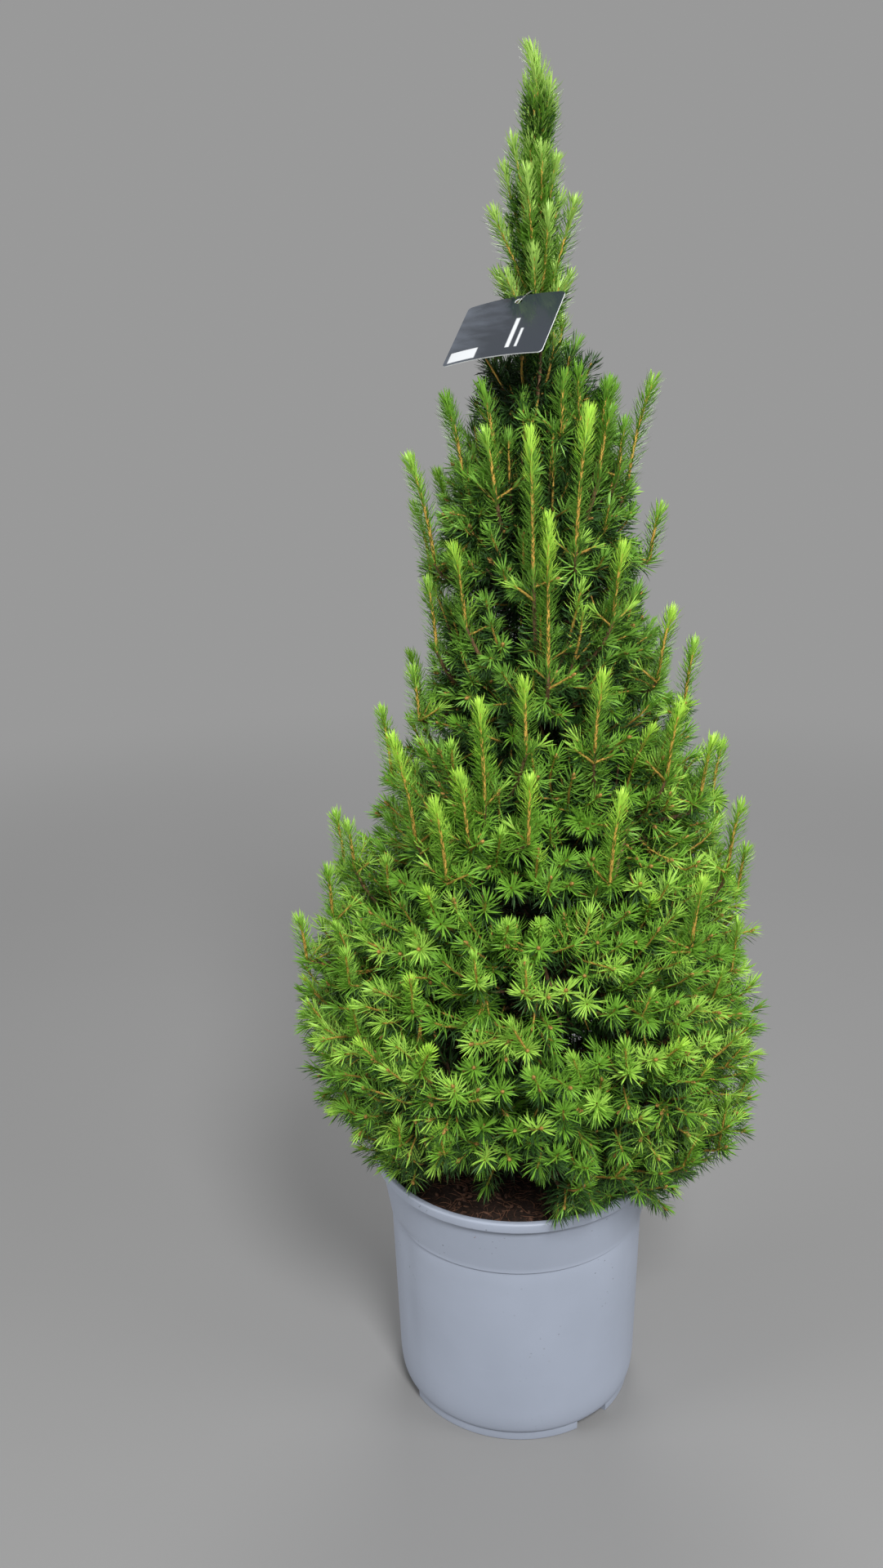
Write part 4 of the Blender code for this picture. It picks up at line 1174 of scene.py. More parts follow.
print("card:", [round(side / MM) for side in card_frame()[3:]], "mm")

# %% [markdown]
# The crown's surface isn't smooth. It has hollows where slow noise is high, a shoulder that slopes in under
# the spire, and a few dark cavities at the front, each a ball in which no shoot may end. And at the front
# left the lowest sprays stop early, so that the soil shows between them and the rim. That edge is ragged,
# because a little noise moves it.

# %% Hollows, cavities and the view of the soil
SOIL_VIEW = (-100 * MM, 28 * MM)
SOIL_VIEW_BACK = -6 * MM
SOIL_VIEW_SLOPE = 0.64
SOIL_VIEW_RAGGED = 16 * MM
SOIL_VIEW_WAVES = 28
HOLLOW_SCALE = 21
HOLLOW_DEPTH = 26 * MM
HOLLOW_SHARE = 0.4
SHOULDER_FOOT = 845 * MM
SHOULDER_TAPER = 0.34
CAVITIES = ((50, -180, 420, 24), (-9, -180, 360, 17), (92, -140, 305, 17), (96, -142, 468, 15))


def hides_soil(point):
    """Whether a spray at a point would hang before the soil that shows at the front left."""
    if not SOIL_VIEW[0] < point.x < SOIL_VIEW[1]:
        return False
    edge = SOIL_VIEW_RAGGED * noise.noise(point * SOIL_VIEW_WAVES)
    return point.z < SOIL_HEIGHT + SOIL_VIEW_SLOPE * (SOIL_VIEW_BACK - point.y) + edge


def surface(height, azimuth):
    """How far out shoots end: the crown's reach, less hollows and the slope of its shoulder."""
    reach = crown_reach(height, azimuth)
    hollow = noise.noise(crown_point(azimuth, reach, height) * HOLLOW_SCALE)
    reach -= min(HOLLOW_DEPTH, HOLLOW_SHARE * reach) * max(0, hollow)
    if SHOULDER_FOOT < height < SPIRE_FOOT:
        reach *= 1 - SHOULDER_TAPER * (height - SHOULDER_FOOT) / (SPIRE_FOOT - SHOULDER_FOOT)
    return reach


def in_cavity(point):
    """Whether a point lies in one of the dark cavities of the crown's front."""
    return any((point - Vector(spot) * MM).length < radius * MM for *spot, radius in CAVITIES)


print("cavities:", len(CAVITIES))

# %% [markdown]
# ## Twigs and buds
#
# A twig is a thin tube along its path. A bud is a small scaly egg at the end of a shoot. Both are bundles
# too: tubes with equally many rings and sides share one table of faces, so there is one bundle for young
# stems, one for old twigs and one, rounder, for the strong upright shoots.

# %% Tubes and buds as arrays
BUD_SIDES = 5
BUD_STATIONS = ((0.0, 0.45), (0.35, 1.0), (0.75, 0.62))
SKEW = (0.13, 0.21, 0.97)


def tube_faces(rings, sides):
    """Triangles of an open tube with so many rings and sides."""
    faces = []
    for low in range(0, (rings - 1) * sides, sides):
        for side in range(sides):
            after = (side + 1) % sides
            faces += [(low + side, low + after, low + sides + after),
                      (low + side, low + sides + after, low + sides + side)]
    return faces


def circles_round(axis, sides):
    """Points of a circle one in radius round a direction, or round each of an array of directions."""
    across = unit(np.cross(axis, SKEW))
    over = np.cross(axis, across)
    turn = np.linspace(0, 2 * pi, sides, endpoint=False)
    return across[..., None, :] * np.cos(turn)[:, None] + over[..., None, :] * np.sin(turn)[:, None]


class Tubes(Bundle):
    """A bundle of tubes with equally many rings and sides."""

    def __init__(self, rings, sides):
        super().__init__(tube_faces(rings, sides))
        self.rings = rings
        self.sides = sides

    def grow(self, path, radii):
        """Adds a tube along a path, with radii spread evenly along it."""
        shares = np.linspace(0, 1, self.rings)
        points, axis = along(path, shares)
        thick = np.interp(shares, np.linspace(0, 1, len(radii)), radii)
        circles = circles_round(axis, self.sides) * thick[:, None, None]
        self.add((points[:, None] + circles).reshape(1, -1, 3))


def bud_shape(foot, way, length, radius):
    """A bud on its foot, as an array of one shape."""
    circle = circles_round(way, BUD_SIDES)
    rings = [foot + way * length * share + circle * radius * girth for share, girth in BUD_STATIONS]
    return np.concatenate([*rings, [foot + way * length]])[None]


last = (len(BUD_STATIONS) - 1) * BUD_SIDES
bud_tip = [(last + side, last + (side + 1) % BUD_SIDES, last + BUD_SIDES) for side in range(BUD_SIDES)]
young_stems = Tubes(4, 4)
strong_stems = Tubes(9, 7)
old_twigs = Tubes(6, 5)
buds = Bundle(tube_faces(len(BUD_STATIONS), BUD_SIDES) + bud_tip)
print("triangles of a bud:", len(buds.faces), "of a young stem:", len(young_stems.faces))

# %% [markdown]
# ## One shoot
#
# A shoot is this year's growth: an orange stem that thins to its tip, needles all round, and a bud or a
# few at the end. Paths are short lists of points, taken from straight lines with a bend or from curves
# that leave one way and arrive another.

# %% Growing a shoot
STEM_GIRTH = 1.08 * MM
BUD_LENGTH = 4.6 * MM
BUD_RADIUS = 1.75 * MM
BUD_CHANCE = 0.55
BUD_SPREAD = 0.45
BUD_BACK = 1.2 * MM
SIDE_BUD = 0.75
STEM_TAPER = (1, 0.9, 0.6)
PART_POINTS = 6


def straight(foot, tip, bend=(0, 0, 0), steps=4):
    """A path from foot to tip that is pushed aside by a bend in its middle."""
    shares = np.linspace(0, 1, steps + 1)[:, None]
    line = np.array(foot) + (np.array(tip) - np.array(foot)) * shares
    return line + np.array(bend) * 4 * shares * (1 - shares)


def curve(foot, knee, tip, steps=10):
    """A path from foot to tip that heads for the knee first."""
    shares = np.linspace(0, 1, steps + 1)[:, None]
    foot, knee, tip = (np.array(corner) for corner in (foot, knee, tip))
    return foot * (1 - shares) ** 2 + knee * 2 * shares * (1 - shares) + tip * shares ** 2


def part_of(path, start, end):
    """A stretch of a path, from one share of its length to another."""
    return along(path, np.linspace(start, end, PART_POINTS))[0]


def clothe(path, habit, girth, rng, tints, turn_at, width=NEEDLE_WIDTH):
    """Needles along a path: the foot's tint up to a share of it, and the tip's tint past it."""
    shapes, share = shoot_needles(path, habit, girth, rng, width)
    deal_needles(shapes, share, tints, turn_at)


def grow_shoot(path, habit, tints, rng, girth, turn_at, bud_chance=0.0, stems=young_stems):
    """Stem, needles and buds of a shoot along a path."""
    clothe(path, habit, girth, rng, tints, turn_at)
    stems.grow(path, [girth * share for share in STEM_TAPER])
    if rng.uniform() < bud_chance:
        way = unit(path[-1] - path[-2])
        buds.add(bud_shape(path[-1], way, BUD_LENGTH, BUD_RADIUS))
        for _ in range(rng.integers(0, 3)):
            lean = unit(way + rng.normal(0, BUD_SPREAD, 3))
            buds.add(bud_shape(path[-1] - way * BUD_BACK, lean, BUD_LENGTH * SIDE_BUD, BUD_RADIUS * SIDE_BUD))


print("a stem is", round(2 * STEM_GIRTH / MM, 2), "mm thick, and its bud", BUD_LENGTH / MM, "mm long")

# %% [markdown]
# ## Shoots at the surface
#
# A shoot may end anywhere under the crown's surface, but not in the pot or where the soil is to be seen.
# What it looks like depends on its height: stars of needles below, closed tufts above, and now and then a
# fresh brush. Every shoot's end is noted, because later we look for places that have none.

# %% Where a shoot may end and how it looks
NEEDLE_STANDOFF = 7 * MM
OVER_SOIL = 7 * MM
OVER_DROOP = 8 * MM
FRESH_CHANCE = 0.12
LIME_CHANCE = 0.30
# How much of a shoot, from its foot, takes the foot's darker tint: partly painted shade under neighbours.
SHADED_FOOT_SHARE = 0.5
shoot_tips = []


def in_crown(point):
    """Whether a shoot may end at a point."""
    azimuth, radius = crown_place(point)
    if radius > surface(point.z, azimuth) - NEEDLE_STANDOFF or hides_soil(point) or in_cavity(point):
        return False
    flat = point.xy.length
    if flat < RIM_RADIUS + 5 * MM:
        return point.z > (SOIL_HEIGHT if flat < RIM_RADIUS - 14 * MM else POT_HEIGHT) + OVER_SOIL
    return point.z > DROOP_HEIGHT + OVER_DROOP


def grow_outer(path, rng, girth=STEM_GIRTH):
    """A shoot at the crown's surface: mostly a star round its buds, at times a fresh brush."""
    middle = Vector(path[len(path) // 2])
    shoot_tips.append(path[-1])
    tints = tints_of(middle, rng)
    if rng.uniform() < FRESH_CHANCE and tints[0] not in ("shade", "deep", "cool_deep"):
        fresh = "lime" if middle.z < UPPER_CROWN and rng.uniform() < LIME_CHANCE else "bright"
        grow_shoot(path, BRUSH, (tints[0], fresh), rng, girth, 0.55)
    elif middle.z < UPPER_CROWN:
        grow_shoot(path, STAR, tints, rng, girth, SHADED_FOOT_SHARE + low_shade(middle.z), BUD_CHANCE)
    else:
        grow_shoot(path, TUFT, tints, rng, girth, SHADED_FOOT_SHARE, 0.2)


print("a shoot ends", round(NEEDLE_STANDOFF / MM), "mm under the surface, which leaves room for its needles")

# %% [markdown]
# Two kinds of shoot leave a branchlet. A side shoot goes out at an angle, and where it would stand out of
# the crown it is tried again shorter or left out. A candle stands up from the branchlet's end, with close
# needles and a fresh tip, and makes the surface bristle.

# %% Side shoots and candles
SIDE_ANGLES = (radians(38), radians(62))
SIDE_GIRTH = STEM_GIRTH * 0.85
SIDE_CURVE = -0.05
SIDE_SAG = Vector((0, 0, -0.04))
SIDE_TRIES = 4
SHORTENING = 0.85
CANDLE_LIME_CHANCE = 0.25
CANDLE_LENGTH = (20 * MM, 34 * MM)
CANDLE_LEAN = 0.30
CANDLE_RISE = 0.9
CANDLE_SCATTER = 0.2


def side_shoot(foot, axis, outward, length, rng):
    """A shoot that leaves a branchlet sideways, if the crown has room for it."""
    for _ in range(SIDE_TRIES):
        aside = Vector(rng.normal(0, 1, 3))
        aside = (aside - axis * aside.dot(axis)).normalized()
        angle = rng.uniform(*SIDE_ANGLES)
        way = (axis * cos(angle) + aside * sin(angle)).normalized()
        if way.dot(outward) < 0.1:
            continue
        tip = foot + way * length
        if in_crown(tip):
            bend = (aside * SIDE_CURVE + SIDE_SAG) * length
            grow_outer(straight(foot, tip, bend, 3), rng, SIDE_GIRTH)
            return
        length *= SHORTENING


def grow_candle(path, share, rng):
    """A short shoot that stands up from a branchlet, with close needles and a pale top."""
    foot = Vector(along(path, np.array([share]))[0][0])
    azimuth, _ = crown_place(foot)
    way = Vector((CANDLE_LEAN * sin(azimuth), -CANDLE_LEAN * cos(azimuth), CANDLE_RISE))
    way += Vector(rng.normal(0, CANDLE_SCATTER, 3))
    length = rng.uniform(*CANDLE_LENGTH)
    tip = foot + way * length
    if in_crown(foot + way * (length - 2 * NEEDLE_STANDOFF)):
        shoot_tips.append(np.array(tip))
        fresh = "lime" if rng.uniform() < CANDLE_LIME_CHANCE else "bright"
        grow_shoot(straight(foot, tip), BRUSH, ("leaf", fresh), rng, STEM_GIRTH, 0.62, 0.3)


print("side shoots leave at", [round(angle * 180 / pi) for angle in SIDE_ANGLES], "degrees")

# %% [markdown]
# ## One branchlet
#
# A branchlet leaves the stem of its mass, bends outwards and up, and ends at the crown's outline. Its last
# part is a shoot. Where last year's growth ended there is a ring of side shoots, and more of them follow
# behind, shorter and duller.

# %% Growing a branchlet
OLD_GIRTH = 1.6 * MM
FORK_SLOPE = 0.9
FORK_BACK = 14 * MM
RING_SHOOTS = (3, 6)
RING_SHARE = (0.55, 0.90)
BACK_SPACING = 13 * MM
BACK_LENGTH = (18 * MM, 32 * MM)
BACK_VARIATION = (0.6, 1.1)
BACK_END = 0.30
RING_DEPTH = 6 * MM
SIDE_RISE = 0.35
SHOOT_VARIATION = (0.6, 0.95)
SHOOT_SHARE = 0.6
CANDLE_CHANCE = 0.42


def branchlet_path(mass, tip, way):
    """The path of a branchlet from its mass's stem to its tip."""
    azimuth, radius = crown_place(tip)
    turn = mass.turn_to(azimuth)
    leaving = radius * cos(turn) - FORK_SLOPE * radius * abs(sin(turn)) - FORK_BACK
    start = mass.stem_point(mass.on_stem(leaving))
    return curve(start, tip - way * (tip - start).length * 0.5, tip)


def grow_twig(mass, tip, way, rng):
    """A twig from the stem of its mass that ends in a shoot. It hands back its path and its last node."""
    path = branchlet_path(mass, tip, way)
    length = length_of(path)
    node = 1 - min(mass.tier.shoot * rng.uniform(*SHOOT_VARIATION), SHOOT_SHARE * length) / length
    grow_outer(part_of(path, node, 1), rng)
    wood = part_of(path, 0, node)
    old_twigs.grow(wood, (OLD_GIRTH, OLD_GIRTH * 0.85, STEM_GIRTH))
    # The old wood's needles take the two darkest tints: partly old needles, mostly painted shade.
    clothe(part_of(path, 0.3 * node, node), OLD, OLD_GIRTH, rng, ("shade", "deep"), 0.6)
    return path, node


def grow_branchlet(mass, tip, way, rng):
    """A branchlet with its end shoot, its ring of side shoots and those further back."""
    path, node = grow_twig(mass, tip, way, rng)
    length = length_of(path)
    fresh = (1 - node) * length
    places = [node - rng.uniform(0, RING_DEPTH) / length for _ in range(rng.integers(*RING_SHOOTS))]
    lengths = [fresh * rng.uniform(*RING_SHARE) for _ in places]
    back = node - BACK_SPACING / length
    while back > BACK_END:
        places.append(back)
        lengths.append(rng.uniform(*BACK_LENGTH))
        back -= BACK_SPACING * rng.uniform(*BACK_VARIATION) / length
    for share, reach in zip(places, lengths):
        spot, axis = along(path, np.array([max(0.02, share)]))
        azimuth, _ = crown_place(Vector(spot[0]))
        outward = Vector((sin(azimuth), -cos(azimuth), SIDE_RISE)).normalized()
        side_shoot(Vector(spot[0]), Vector(axis[0]), outward, reach, rng)
    if tip.z < UPPER_CROWN and rng.uniform() < CANDLE_CHANCE:
        grow_candle(path, rng.uniform(0.5 + 0.5 * node, 1), rng)


print("shoots in a ring:", RING_SHOOTS[0], "to", RING_SHOOTS[1] - 1)

# %% [markdown]
# ## The whole crown
#
# Each mass sends branchlets to a net of places over its outer face: rows up its height, columns across its
# sector, every second row moved by half a column, and all of them jogged a little. A shoot's direction
# follows the source's rule: more upright higher up the crown, and higher up its own mass.

# %% A net over a mass, and the way its shoots point
ROW_SHIFT = 0.25
COLUMN_JOG = 0.3
ROW_JOG = 0.25
RISE_AT_RIM = radians(24)
RISE_GAIN = radians(48)
RISE_FAN = radians(34)
CLIMB_TOP = 0.8
RISE_VARIATION = 0.40
TURN_SPREAD = 1.05
TURN_VARIATION = 0.50
DROOP_SHARE = -0.75


def shoot_direction(mass, across, share, rng, azimuth=None):
    """The way a shoot points: out of the crown and up."""
    height = mass.height(mass.outer_radius(across, share), share)
    climb = min(1, max(0, (height - POT_HEIGHT) / (CROWN_TOP - POT_HEIGHT)) / CLIMB_TOP)
    rise = RISE_AT_RIM + RISE_GAIN * climb + RISE_FAN * (share - 0.5)
    rise += rng.uniform(-RISE_VARIATION, RISE_VARIATION)
    if azimuth is None:
        azimuth = mass.azimuth + across * mass.half * TURN_SPREAD
    azimuth += rng.uniform(-TURN_VARIATION, TURN_VARIATION)
    return Vector((sin(azimuth) * cos(rise), -cos(azimuth) * cos(rise), sin(rise)))


def net_of(mass, pitch, rng):
    """Places over the outer face of a mass: how far across its sector and how far up."""
    low, high = (mass.height(mass.outer_radius(0, share), share) for share in (0, 1))
    rows = max(2, round((high - low) / pitch))
    shares = [(row + 0.5) / rows for row in range(rows)]
    if mass.level == 0:
        shares.insert(0, DROOP_SHARE)
    for row, share in enumerate(shares):
        columns = max(1, round(2 * mass.half * mass.outer_radius(0, share) / pitch))
        for column in range(columns):
            across = (column + 0.5 + ROW_SHIFT * (-1) ** row) / columns * 2 - 1
            across += rng.uniform(-COLUMN_JOG, COLUMN_JOG) / columns
            yield across, share + rng.uniform(-ROW_JOG, ROW_JOG) / rows


print("how steep shoots are, from the rim to the top:",
      [round(rise * 180 / pi) for rise in (RISE_AT_RIM, RISE_AT_RIM + RISE_GAIN)], "degrees")

# %% [markdown]
# Behind the outer net lies a second one of inner twigs, and short twigs stand on the trunk itself. Their
# needles are near black, painted shade for the dark inside of the crown. They close the view through the
# crown, because a plant as dense as this one lets no light through.

# %% Growing the masses
PITCH_SHARE = 0.66
TIP_REACH = (0.90, 1.0)
LEAST_REACH = 8 * MM
RIM_CLEARANCE = 10 * MM
INNER_PITCH_SHARE = 0.62
INNER_REACH = (0.34, 0.80)
TRUNK_TWIGS = 190
TRUNK_TWIGS_FOOT = 262 * MM
TRUNK_TWIGS_TOP = 860 * MM
TRUNK_TWIGS_REACH = (0.36, 0.52)
TRUNK_TWIGS_RISE = (0.1, 0.6)


def grow_net(mass, rng):
    """The branchlets over the outer face of a mass, and how many there are."""
    grown = 0
    for across, share in net_of(mass, PITCH_SHARE * mass.tier.shoot, rng):
        outer = mass.outer_radius(across, share)
        outer = min(outer, surface(mass.height(outer, share), mass.azimuth + across * mass.half))
        reach = outer * rng.uniform(*TIP_REACH) - NEEDLE_STANDOFF
        tip = mass.point(across, max(reach, LEAST_REACH), share)
        way = shoot_direction(mass, across, share, rng)
        hanging = share < 0 and tip.xy.length < RIM_RADIUS + RIM_CLEARANCE
        if hanging or tip.z > SPIRE_FOOT or hides_soil(tip) or in_cavity(tip):
            continue
        grow_branchlet(mass, tip, way, rng)
        grown += 1
    return grown


def grow_inner_twigs(mass, rng):
    """The twigs inside a mass, whose needles take the near-black tints of painted shade."""
    for across, share in net_of(mass, INNER_PITCH_SHARE * mass.tier.shoot, rng):
        reach = mass.outer_radius(across, share) * rng.uniform(*INNER_REACH)
        tip = mass.point(across, reach, share)
        if share < 0 or tip.z > SPIRE_FOOT or not in_crown(tip):
            continue
        path = branchlet_path(mass, tip, shoot_direction(mass, across, share, rng))
        old_twigs.grow(path, (OLD_GIRTH, STEM_GIRTH, STEM_GIRTH * 0.7))
        clothe(part_of(path, 0.15, 1), INNER, STEM_GIRTH, rng, ("shade", "deep"), 0.75, INNER_WIDTH)


def clothe_stem(mass, rng):
    """Needles along a mass's stem: painted shade in the crown, fresher at its neck, none in the spire."""
    radii = np.linspace(mass.inner, STEM_SHARE * mass.outer, 8)
    stem = np.array([mass.stem_point(radius) for radius in radii])
    if mass.level < len(TIERS) - 2:
        clothe(stem, INNER, OLD_GIRTH, rng, ("shade", "shade"), 1, INNER_WIDTH)
    elif mass.level == len(TIERS) - 2:
        clothe(stem, TUFT, OLD_GIRTH, rng, ("cool_deep", "cool_leaf"), 0.8)


def grow_mass(mass, rng):
    """All that grows on the stem of a mass, and how many branchlets that is."""
    grown = grow_net(mass, rng)
    grow_inner_twigs(mass, rng)
    clothe_stem(mass, rng)
    return grown


def grow_trunk_twigs(rng):
    """Short twigs straight from the trunk, with needles of painted shade, which close the view through the
    crown.
    """
    for number in range(TRUNK_TWIGS):
        height = TRUNK_TWIGS_FOOT + (TRUNK_TWIGS_TOP - TRUNK_TWIGS_FOOT) * number / TRUNK_TWIGS
        azimuth = number * GOLDEN_TURN
        reach = crown_reach(height, azimuth) * rng.uniform(*TRUNK_TWIGS_REACH)
        tip = crown_point(azimuth, reach, height + reach * rng.uniform(*TRUNK_TWIGS_RISE))
        if not (blocked(np.array(tip)) or hides_soil(tip)):
            path = straight(trunk_centre(height), tip)
            old_twigs.grow(path, (OLD_GIRTH, STEM_GIRTH))
            clothe(part_of(path, 0.2, 1), INNER, STEM_GIRTH, rng, ("shade", "shade"), 1, INNER_WIDTH)


crown_rng = np.random.default_rng(SEED)
branchlets = sum(grow_mass(mass, crown_rng) for mass in masses)
grow_trunk_twigs(crown_rng)
print("branchlets:", branchlets, "triangles in needles:", sum(part.triangles() for part in needles.values()))

# %% [markdown]
# The net leaves thin places, mostly where two tiers meet. So the whole surface is walked once more, and
# wherever no shoot ends near, one twig is added from the mass to which the place belongs. A few sprays also
# hang over the pot's rim at the front, where the photograph has them.

# %% Filling thin places
FILL_STEP = 9 * MM
FILL_ROOM = 17.5 * MM
FILL_FOOT = 245 * MM
FILL_REACH = (0.90, 0.97)
HANGING_SPRAYS = ((-30, -112, 258), (33, -116, 246), (60, -106, 246), (84, -92, 242), (102, -74, 238),
                  (142, -42, 224), (190, -6, 266), (-92, -84, 258), (-122, -50, 246), (120, -62, 232))
HANGING_WAY = radians(-24)
HANGING_SIDE_LENGTH = 27 * MM


def mass_at(point):
    """The mass whose space holds a point, or the nearest one."""
    azimuth, radius = crown_place(point)
    level = max([0] + [step for step in range(len(TIERS)) if level_height(step, radius) < point.z])
    tier = [mass for mass in masses if mass.level == level]
    return min(tier, key=lambda mass: abs(mass.turn_to(azimuth)))


def fill_thin_places(rng):
    """Adds a twig wherever the crown's surface has no shoot's end near."""
    added = 0
    near = np.array(shoot_tips)
    for height in np.arange(FILL_FOOT, SPIRE_FOOT, FILL_STEP):
        around = int(2 * pi * crown_reach(height, 0) / FILL_STEP)
        for step in range(around):
            azimuth = 2 * pi * (step + rng.uniform()) / around
            radius = surface(height, azimuth) * rng.uniform(*FILL_REACH) - NEEDLE_STANDOFF
            tip = crown_point(azimuth, radius, height + rng.uniform(-0.5, 0.5) * FILL_STEP)
            if not in_crown(tip):
                continue
            if np.linalg.norm(near - np.array(tip), axis=1).min() > FILL_ROOM:
                mass = mass_at(tip)
                grow_twig(mass, tip, shoot_direction(mass, 0, 0.5, rng, azimuth), rng)
                near = np.array(shoot_tips)
                added += 1
    return added


def hang_spray(tip, rng):
    """A spray that ends low over the rim."""
    azimuth, _ = crown_place(tip)
    flat = cos(HANGING_WAY)
    way = Vector((sin(azimuth) * flat, -cos(azimuth) * flat, sin(HANGING_WAY)))
    mass = min(masses[:TIERS[0].masses], key=lambda mass: abs(mass.turn_to(azimuth)))
    path, node = grow_twig(mass, tip, way, rng)
    for side in (-1, 1):
        spot, axis = along(path, np.array([node]))
        aside = np.cross(axis[0], (0, 0, side))
        end = spot[0] + (axis[0] * 0.75 + aside * 0.6) * HANGING_SIDE_LENGTH
        grow_outer(straight(spot[0], end, steps=3), rng, SIDE_GIRTH)


added = fill_thin_places(crown_rng)
for spot in HANGING_SPRAYS:
    hang_spray(Vector(spot) * MM, crown_rng)
print("twigs added:", added)

# %% [markdown]
# ## The upright shoots
#
# What gives this plant its lively outline are strong shoots that stand straight up out of the cone, with
# short, close needles. Those at the front are lime at the tip, those at the sides and the back a less yellow
# fresh green, and the topmost ones stay plain green. At the front and sides they stand where the photograph
# has them, and the same habit goes on round the back. Each stands on a clothed side branch that curves up
# into it, with side shoots round its foot. Those at the sides lean outwards, and those at the front and back
# lean a little towards the cone. Each row of the table gives an azimuth in degrees, and the height of the
# foot, the rise and a shift to the side in millimetres.

# %% Growing the upright shoots
UPRIGHT_SHOOTS = (
    (-6, 734, 96, 0), (15, 752, 92, 6), (1, 668, 104, 0), (57, 652, 48, 4), (80, 620, 50, 0),
    (18, 612, 52, 4), (-8, 612, 48, 0), (-22, 575, 70, 0), (-26, 548, 48, -3), (-47, 540, 76, -8),
    (-31, 522, 54, -4), (-6, 552, 44, 2), (18, 525, 58, 5), (67, 500, 52, 2), (46, 585, 50, 4),
    (-62, 802, 52, -5), (-72, 738, 74, -8), (-84, 728, 48, -4), (-44, 696, 54, -3), (50, 822, 40, 0),
    (82, 790, 74, 8), (85, 735, 36, 2), (-78, 498, 34, 0), (-76, 462, 36, 2), (-80, 420, 34, 0),
    (-70, 672, 50, 0), (-75, 618, 36, 0), (35, 700, 50, 3), (62, 560, 44, 3), (40, 470, 46, 3),
    (-100, 560, 52, 0), (88, 545, 40, 0), (94, 455, 36, 0), (110, 470, 48, 0), (150, 735, 84, 4),
    (196, 610, 80, -6), (128, 570, 66, 4), (228, 720, 76, -6), (166, 500, 70, 4), (205, 820, 56, -4),
    (140, 650, 62, 4), (180, 780, 60, 0), (235, 590, 60, -4), (262, 480, 44, 0), (148, 440, 52, 4),
    (205, 455, 56, -4), (40, 800, 44, 4), (-30, 790, 40, -4),
    (60, 826, 32, 0), (30, 840, 32, -3), (14, 832, 36, 0), (-36, 822, 40, -5), (66, 800, 34, 0),
    (170, 816, 40, 0), (240, 802, 42, -6), (120, 826, 36, 4),
)
UPRIGHT_INSET = 9 * MM
UPRIGHT_LEAN = 0.12
UPRIGHT_FRONT = radians(65)
LIME_TOP = 760 * MM
UPRIGHT_TURN_AT = (0.60, 0.82)
UPRIGHT_KNEE = 0.35
UPRIGHT_BEND = 0.15
BRANCH_DEPTH = 26
BRANCH_FALL = 0.45
BRANCH_LENGTH = 20 * MM
UPRIGHT_RING = 6
UPRIGHT_RING_LENGTH = (15, 23)
UPRIGHT_RING_RISE = (0.2, 0.9)
UPRIGHT = Habit(12.8 * MM, 4500, radians(66), radians(38))
UPRIGHT_GIRTH = 1.35 * MM


def grow_upright(azimuth, height, rise, shift, rng):
    """One upright shoot with its side branch and the ring of side shoots round its foot."""
    outward = Vector((sin(azimuth), -cos(azimuth), 0))
    foot = crown_point(azimuth, crown_reach(height, azimuth) - UPRIGHT_INSET, height)
    lean = Vector((sin(azimuth), cos(azimuth), 0)) * UPRIGHT_LEAN * rise
    tip = foot + lean + Vector((shift, 0, rise))
    deep = foot - outward * BRANCH_DEPTH * MM - Vector((0, 0, BRANCH_FALL * rise))
    mass = mass_at(deep)
    _, radius = crown_place(deep)
    start = mass.stem_point(mass.on_stem(radius - BRANCH_LENGTH))
    branch = curve(start, foot - (tip - foot) * UPRIGHT_KNEE, foot)
    old_twigs.grow(branch, (OLD_GIRTH * 1.2, UPRIGHT_GIRTH))
    # Painted shade: the clothed branch is darker at its foot, inside the crown, than further out.
    green = ("cool_deep", "cool_leaf") if height > UPPER_CROWN else ("deep", "leaf")
    clothe(part_of(branch, 0.35, 1), STAR, UPRIGHT_GIRTH, rng, green, 0.4)
    fresh = "bright" if abs(azimuth) > UPRIGHT_FRONT or height > LIME_TOP else "lime"
    tints = green[1], "leaf" if height > NECK_SHADE else fresh
    bend = Vector((-shift * UPRIGHT_BEND, 0, 0)) - lean * UPRIGHT_BEND
    turn_at = rng.uniform(*UPRIGHT_TURN_AT)
    grow_shoot(straight(foot, tip, bend, 8), UPRIGHT, tints, rng, UPRIGHT_GIRTH, turn_at, stems=strong_stems)
    for turn in range(UPRIGHT_RING):
        bearing = azimuth + turn * 2 * pi / UPRIGHT_RING + rng.normal(0, 0.2)
        aside = Vector((cos(bearing), sin(bearing), 0))
        way = (aside + Vector((0, 0, rng.uniform(*UPRIGHT_RING_RISE))) + outward * 0.25).normalized()
        length = rng.uniform(*UPRIGHT_RING_LENGTH) * MM
        spot = foot - (foot - Vector(branch[-3])) * rng.uniform(0, 1)
        if in_crown(spot + way * (length - 8 * MM)):
            grow_outer(straight(spot, spot + way * length, steps=3), rng, STEM_GIRTH)


for turn, height, rise, shift in UPRIGHT_SHOOTS:
    grow_upright(radians(turn), height * MM, rise * MM, shift * MM, crown_rng)
print("upright shoots:", len(UPRIGHT_SHOOTS))

# %% [markdown]
# ## The spire
#
# From about ten centimetres below the card upwards, shoots are steep and close to the trunk. They leave it
# well below their tips, swing out and then rise beside it, one after another in the same golden spiral: a
# dense flight of them round the neck, and a looser one round the spire. Stronger ones are set among them,
# where the photograph has them. Each row gives the place across and the height of a shoot's foot, the
# same for its tip, and how far back it stands, in millimetres. The trunk's own top bears needles too, and
# this year's leader ends the plant.

